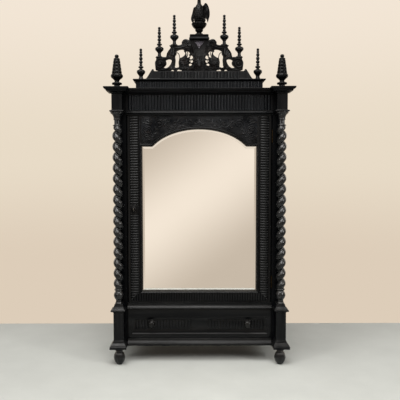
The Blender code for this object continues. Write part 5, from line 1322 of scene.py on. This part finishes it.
lock = {      # rings of the escutcheon as (share of its size, depth behind its front)
    "x": -0.4745, "z": 1.11885, "wide": 0.0395, "tall": 0.0575, "hole": 0.0036, "around": 48,
    "rings": [(1, 0.0030), (0.955, 0.0018), (0.90, 0.0018), (0.86, 0.0030), (0.80, 0.0030), (0.72, 0.0012),
              (0.50, 0.0003), (0.34, 0)],
}


def ovalEscutcheon():
    low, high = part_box("escutcheon")
    hole, wide, tall = lock["hole"], lock["wide"] / 2, lock["tall"] / 2
    rings = [(wide, tall, high.y)] + [(share * wide, share * tall, low.y + depth) for share, depth in lock["rings"]]
    rings += [(hole, hole, low.y), (hole, hole, high.y)]
    bm = bmesh.new()
    outlines = [(y, oval(lock["x"], lock["z"], a, b, lock["around"])) for a, b, y in rings]
    loft(bm, [[(x, y, z) for x, z in outline] for y, outline in outlines], looped=True)
    fitted("oval_escutcheon", bm, carvedBlack, "door", "escutcheon", 40)


ovalEscutcheon()

drawer = {
    "face": -0.189, "back": -0.163, "field": -0.1795, "side": 0.024, "top": 0.060, "bottom": 0.022,
    "reedLow": 0.239, "reedHigh": 0.303, "reedIn": 0.064, "reedOut": 0.470, "pitch": 0.0232, "depth": 0.0066,
    "fillet": mm([(0, 1), (0, -2.2), (-0.6, -3)]),
    # reach and depth behind the face at its edge, then round the field
    "edge": mm([(0, 2), (-1.5, 0.2), (-3.5, 0)]), "sill": mm([(2.5, 0), (0.8, 0), (0, 0.3)]),
}


def drawerFront():
    low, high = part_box("drawer_front")
    bm = bmesh.new()
    outline = oblong(low.x, high.x, low.z, high.z)
    field = oblong(low.x + drawer["side"], high.x - drawer["side"], low.z + drawer["bottom"], high.z - drawer["top"])
    face, sunk = drawer["face"], drawer["field"]
    rings = [(outline, 0, drawer["back"])] + [(outline, reach, y) for reach, y in lifted(drawer["edge"], face)]
    sill = lifted(drawer["sill"], face) + [(-0.0098, sunk - 0.0004), (-0.0104, sunk)]
    rings += [(field, reach, y) for reach, y in sill]
    loft(bm, [[(p.x, y, p.y) for p in grown(shape, reach)] for shape, reach, y in rings])
    bottom, top, inner, outer = drawer["reedLow"], drawer["reedHigh"], drawer["reedIn"], drawer["reedOut"]
    edgeIn, edgeOut, edgeLow, edgeHigh = inner - 0.0045, outer + 0.0045, bottom - 0.0045, top + 0.0045
    fillets = [(edgeIn, edgeOut, edgeLow, bottom - 0.0018), (edgeIn, edgeOut, top + 0.0018, edgeHigh),
               (edgeIn, inner - 0.0019, edgeLow, edgeHigh), (outer + 0.0019, edgeOut, edgeLow, edgeHigh)]
    for sign in (-1, 1):
        ribs(bm, inner, outer, drawer, lambda t: (bottom, top), upright(sunk, sign))
        for x0, x1, z0, z1 in fillets:
            onDoor(bm, oblong(sign * x0, sign * x1, z0, z1), drawer["fillet"], sunk)
    fitted("reeded_drawer_front", bm, levelBlack, "drawer", "drawer_front")


knobs = {
    "y": -0.1823,
    "profile": mm([(0, -4), (31, -4), (31, 2.5), (29.5, 4.5, 1), (26.2, 5), (25, 4), (22.5, 4), (20.5, 6, 1),
                   (15, 8.5), (11.5, 11, 1), (10, 16, 1), (10.5, 20.5, 1), (15, 23.5), (20.5, 25, 1), (23.6, 29, 1),
                   (24, 33, 1), (22.2, 38, 1), (16.5, 42, 1), (10, 43.6), (8.5, 43), (6, 43.6, 1), (0, 43.9)]),
}


def drawerKnob(side):
    low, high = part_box("drawer_knob_" + side)
    bm = bmesh.new()
    turnOn(bm, bent(knobs["profile"]), ((low.x + high.x) / 2, knobs["y"], (low.z + high.z) / 2), tilt=lying)
    fitted("turned_knob_" + side, bm, knobShadeBlack, "drawer", "drawer_knob_" + side, 44)


drawerFront()
for side, sign in sides:
    drawerKnob(side)
print("drawer front and knobs made")

finishes = {
    shadedBlack: ["corner_stile_left", "corner_stile_right"],
    uprightBlack: ["back_post_left", "back_post_right"],
    plainUpright: ["back_panel", "mirror_backboard"],
    plainUnderShade: ["bottom_board"],
    plainLevel: ["wardrobe_floor", "hat_shelf", "hanging_rail", "drawer_back"],
    plainDeep: ["drawer_side_left", "drawer_side_right", "drawer_bottom", "drawer_runner_left", "drawer_runner_right"],
    lockSteel: ["key", "lock_case"],
    darkBrass: ["lock_bolt", "hinge_post_leaf_lower", "hinge_post_leaf_upper", "hinge_door_leaf_lower",
                   "hinge_door_leaf_upper"],
}
for material, names in finishes.items():
    for name in names:
        kept = nodes[name]
        if not kept.material_slots:
            kept.data.materials.append(material)
        for slot in kept.material_slots:
            slot.material = material
print("kept nodes finished")

studio = {
    "floorNear": -2.35, "floorFar": 0.815, "floorHalf": 4.5, "floor": tone(201, 202, 196), "floorShade": 0.93,
    "wallHigh": tone(243, 230, 214), "wallMiddle": tone(232, 219, 199), "wallLow": tone(221, 205, 185),
    # the room as the mirror shows it: a bright slanting band, dim beside it
    "mirrorBright": tone(250, 238, 223), "mirrorDim": tone(205, 192, 176), "roomSide": tone(146, 142, 136),
    "roomHigh": tone(84, 84, 86), "ceiling": tone(236, 225, 210), "slant": (4.7, 6.55, 0.388), "bandWidth": 1.1,
    # where one tone gives way to the next
    "toMiddle": (-0.16, 0.02), "toHigh": (0.02, 0.30), "toSide": (0.36, 0.75), "toDark": (0.07, 0.12),
    "toCeiling": (0.16, 0.24), "toWall": (-0.2, 0.2),
    "fill": 0.05, "fillColour": (1.0, 0.99, 0.975, 1.0), "lampColour": (1.0, 0.995, 0.985),
    "eye": (-0.0727, -4.273, 1.430), "tilt": 86.615, "roll": 0.1, "lens": 50.82, "shift": 0.0267,
    # place, target, width, height and power
    "lamps": [((-0.4, -1.8, 4.9), (0, -0.2, 0.6), 3.2, 2.6, 175), ((0.2, -5.5, 5.4), (0, -0.2, 0.6), 3.9, 1.8, 112),
              ((-2.6, -2.6, 2.7), (0, -0.2, 1.2), 0.9, 2.2, 39), ((2.9, -2.4, 2.4), (0, -0.2, 1.2), 0.8, 1.8, 50),
              ((-3.4, 1.6, 2.4), (0, 0, 1.2), 1.4, 2.2, 20), ((3.4, 1.6, 2.4), (0, 0, 1.2), 1.4, 2.2, 20)],
}


def paleFloor():
    half, near, far = studio["floorHalf"], studio["floorNear"], studio["floorFar"]
    mesh = bpy.data.meshes.new("floor")
    mesh.from_pydata([(-half, near, 0), (half, near, 0), (half, far, 0), (-half, far, 0)], [], [(0, 1, 2, 3)])
    floor = bpy.data.objects.new("floor", mesh)
    bpy.context.scene.collection.objects.link(floor)
    material, tree, shader = startMaterial("paleFloor")
    clouds = ramp(tree, noise(tree, objectSpace(tree), 2.2, 7.0, 0.6), 0.3, 0.7)
    darker = tuple(value * studio["floorShade"] for value in studio["floor"][:3]) + (1.0,)
    shade = mixed(tree, clouds, darker, studio["floor"])
    feed(tree, shader, {"Base Color": shade, "Roughness": 0.6, "Specular IOR Level": 0.2})
    mesh.materials.append(material)


def softLamp(index, place, target, wide, tall, power):
    lamp = bpy.data.lights.new(f"softbox_{index}", "AREA")
    lamp.shape = "RECTANGLE"
    lamp.size = wide
    lamp.size_y = tall
    lamp.energy = power
    lamp.color = studio["lampColour"]
    holder = bpy.data.objects.new(lamp.name, lamp)
    holder.location = place
    holder.rotation_euler = (Vector(target) - Vector(place)).to_track_quat("-Z", "Y").to_euler()
    bpy.context.scene.collection.objects.link(holder)


def paleWorld():      # what the camera and the mirror see, and a plain fill light for all else
    world = bpy.data.worlds.new("studio")
    bpy.context.scene.world = world
    world.use_nodes = True
    tree = world.node_tree
    tree.nodes.clear()
    way = add(tree, "SeparateXYZ", {"Vector": add(tree, "TexCoord", {})["Generated"]})
    rise, across = way["Z"], maths(tree, "ABSOLUTE", way["X"])
    wall = mixed(tree, ramp(tree, rise, *studio["toMiddle"]), studio["wallLow"], studio["wallMiddle"])
    wall = mixed(tree, ramp(tree, rise, *studio["toHigh"]), wall, studio["wallHigh"])
    perX, perZ, offset = studio["slant"]
    slant = maths(tree, "SUBTRACT", times(tree, way["X"], perX), maths(tree, "ADD", times(tree, rise, perZ), offset))
    away = ramp(tree, maths(tree, "ABSOLUTE", slant), 0.0, studio["bandWidth"])
    room = mixed(tree, away, studio["mirrorBright"], studio["mirrorDim"])
    room = mixed(tree, ramp(tree, across, *studio["toSide"]), room, studio["roomSide"])
    room = mixed(tree, ramp(tree, rise, *studio["toDark"]), room, studio["roomHigh"])
    room = mixed(tree, ramp(tree, rise, *studio["toCeiling"]), room, studio["ceiling"])
    path = add(tree, "LightPath", {})
    camera = path["Is Camera Ray"]
    behind = ramp(tree, way["Y"], *studio["toWall"])
    seen = mixed(tree, maths(tree, "MAXIMUM", behind, camera), room, wall)
    direct = maths(tree, "MAXIMUM", camera, maths(tree, "MAXIMUM", path["Is Glossy Ray"], path["Is Transmission Ray"]))
    shown = add(tree, "Background", {"Color": seen, "Strength": 1.0})[0]
    fill = add(tree, "Background", {"Color": studio["fillColour"], "Strength": studio["fill"]})[0]
    add(tree, "OutputWorld", {"Surface": add(tree, "MixShader", {0: direct, 1: fill, 2: shown})[0]})


def setCamera():
    camera = bpy.data.cameras.new("camera")
    camera.sensor_width = 36
    camera.lens = studio["lens"]
    camera.clip_end = 50
    camera.shift_x = studio["shift"]
    holder = bpy.data.objects.new("camera", camera)
    holder.location = studio["eye"]
    holder.rotation_euler = (math.radians(studio["tilt"]), math.radians(studio["roll"]), 0)
    bpy.context.scene.collection.objects.link(holder)
    bpy.context.scene.camera = holder


paleFloor()
paleWorld()
for index, lampLook in enumerate(studio["lamps"]):
    softLamp(index, *lampLook)
setCamera()
bpy.context.scene.view_settings.view_transform = "Standard"
print("studio set")
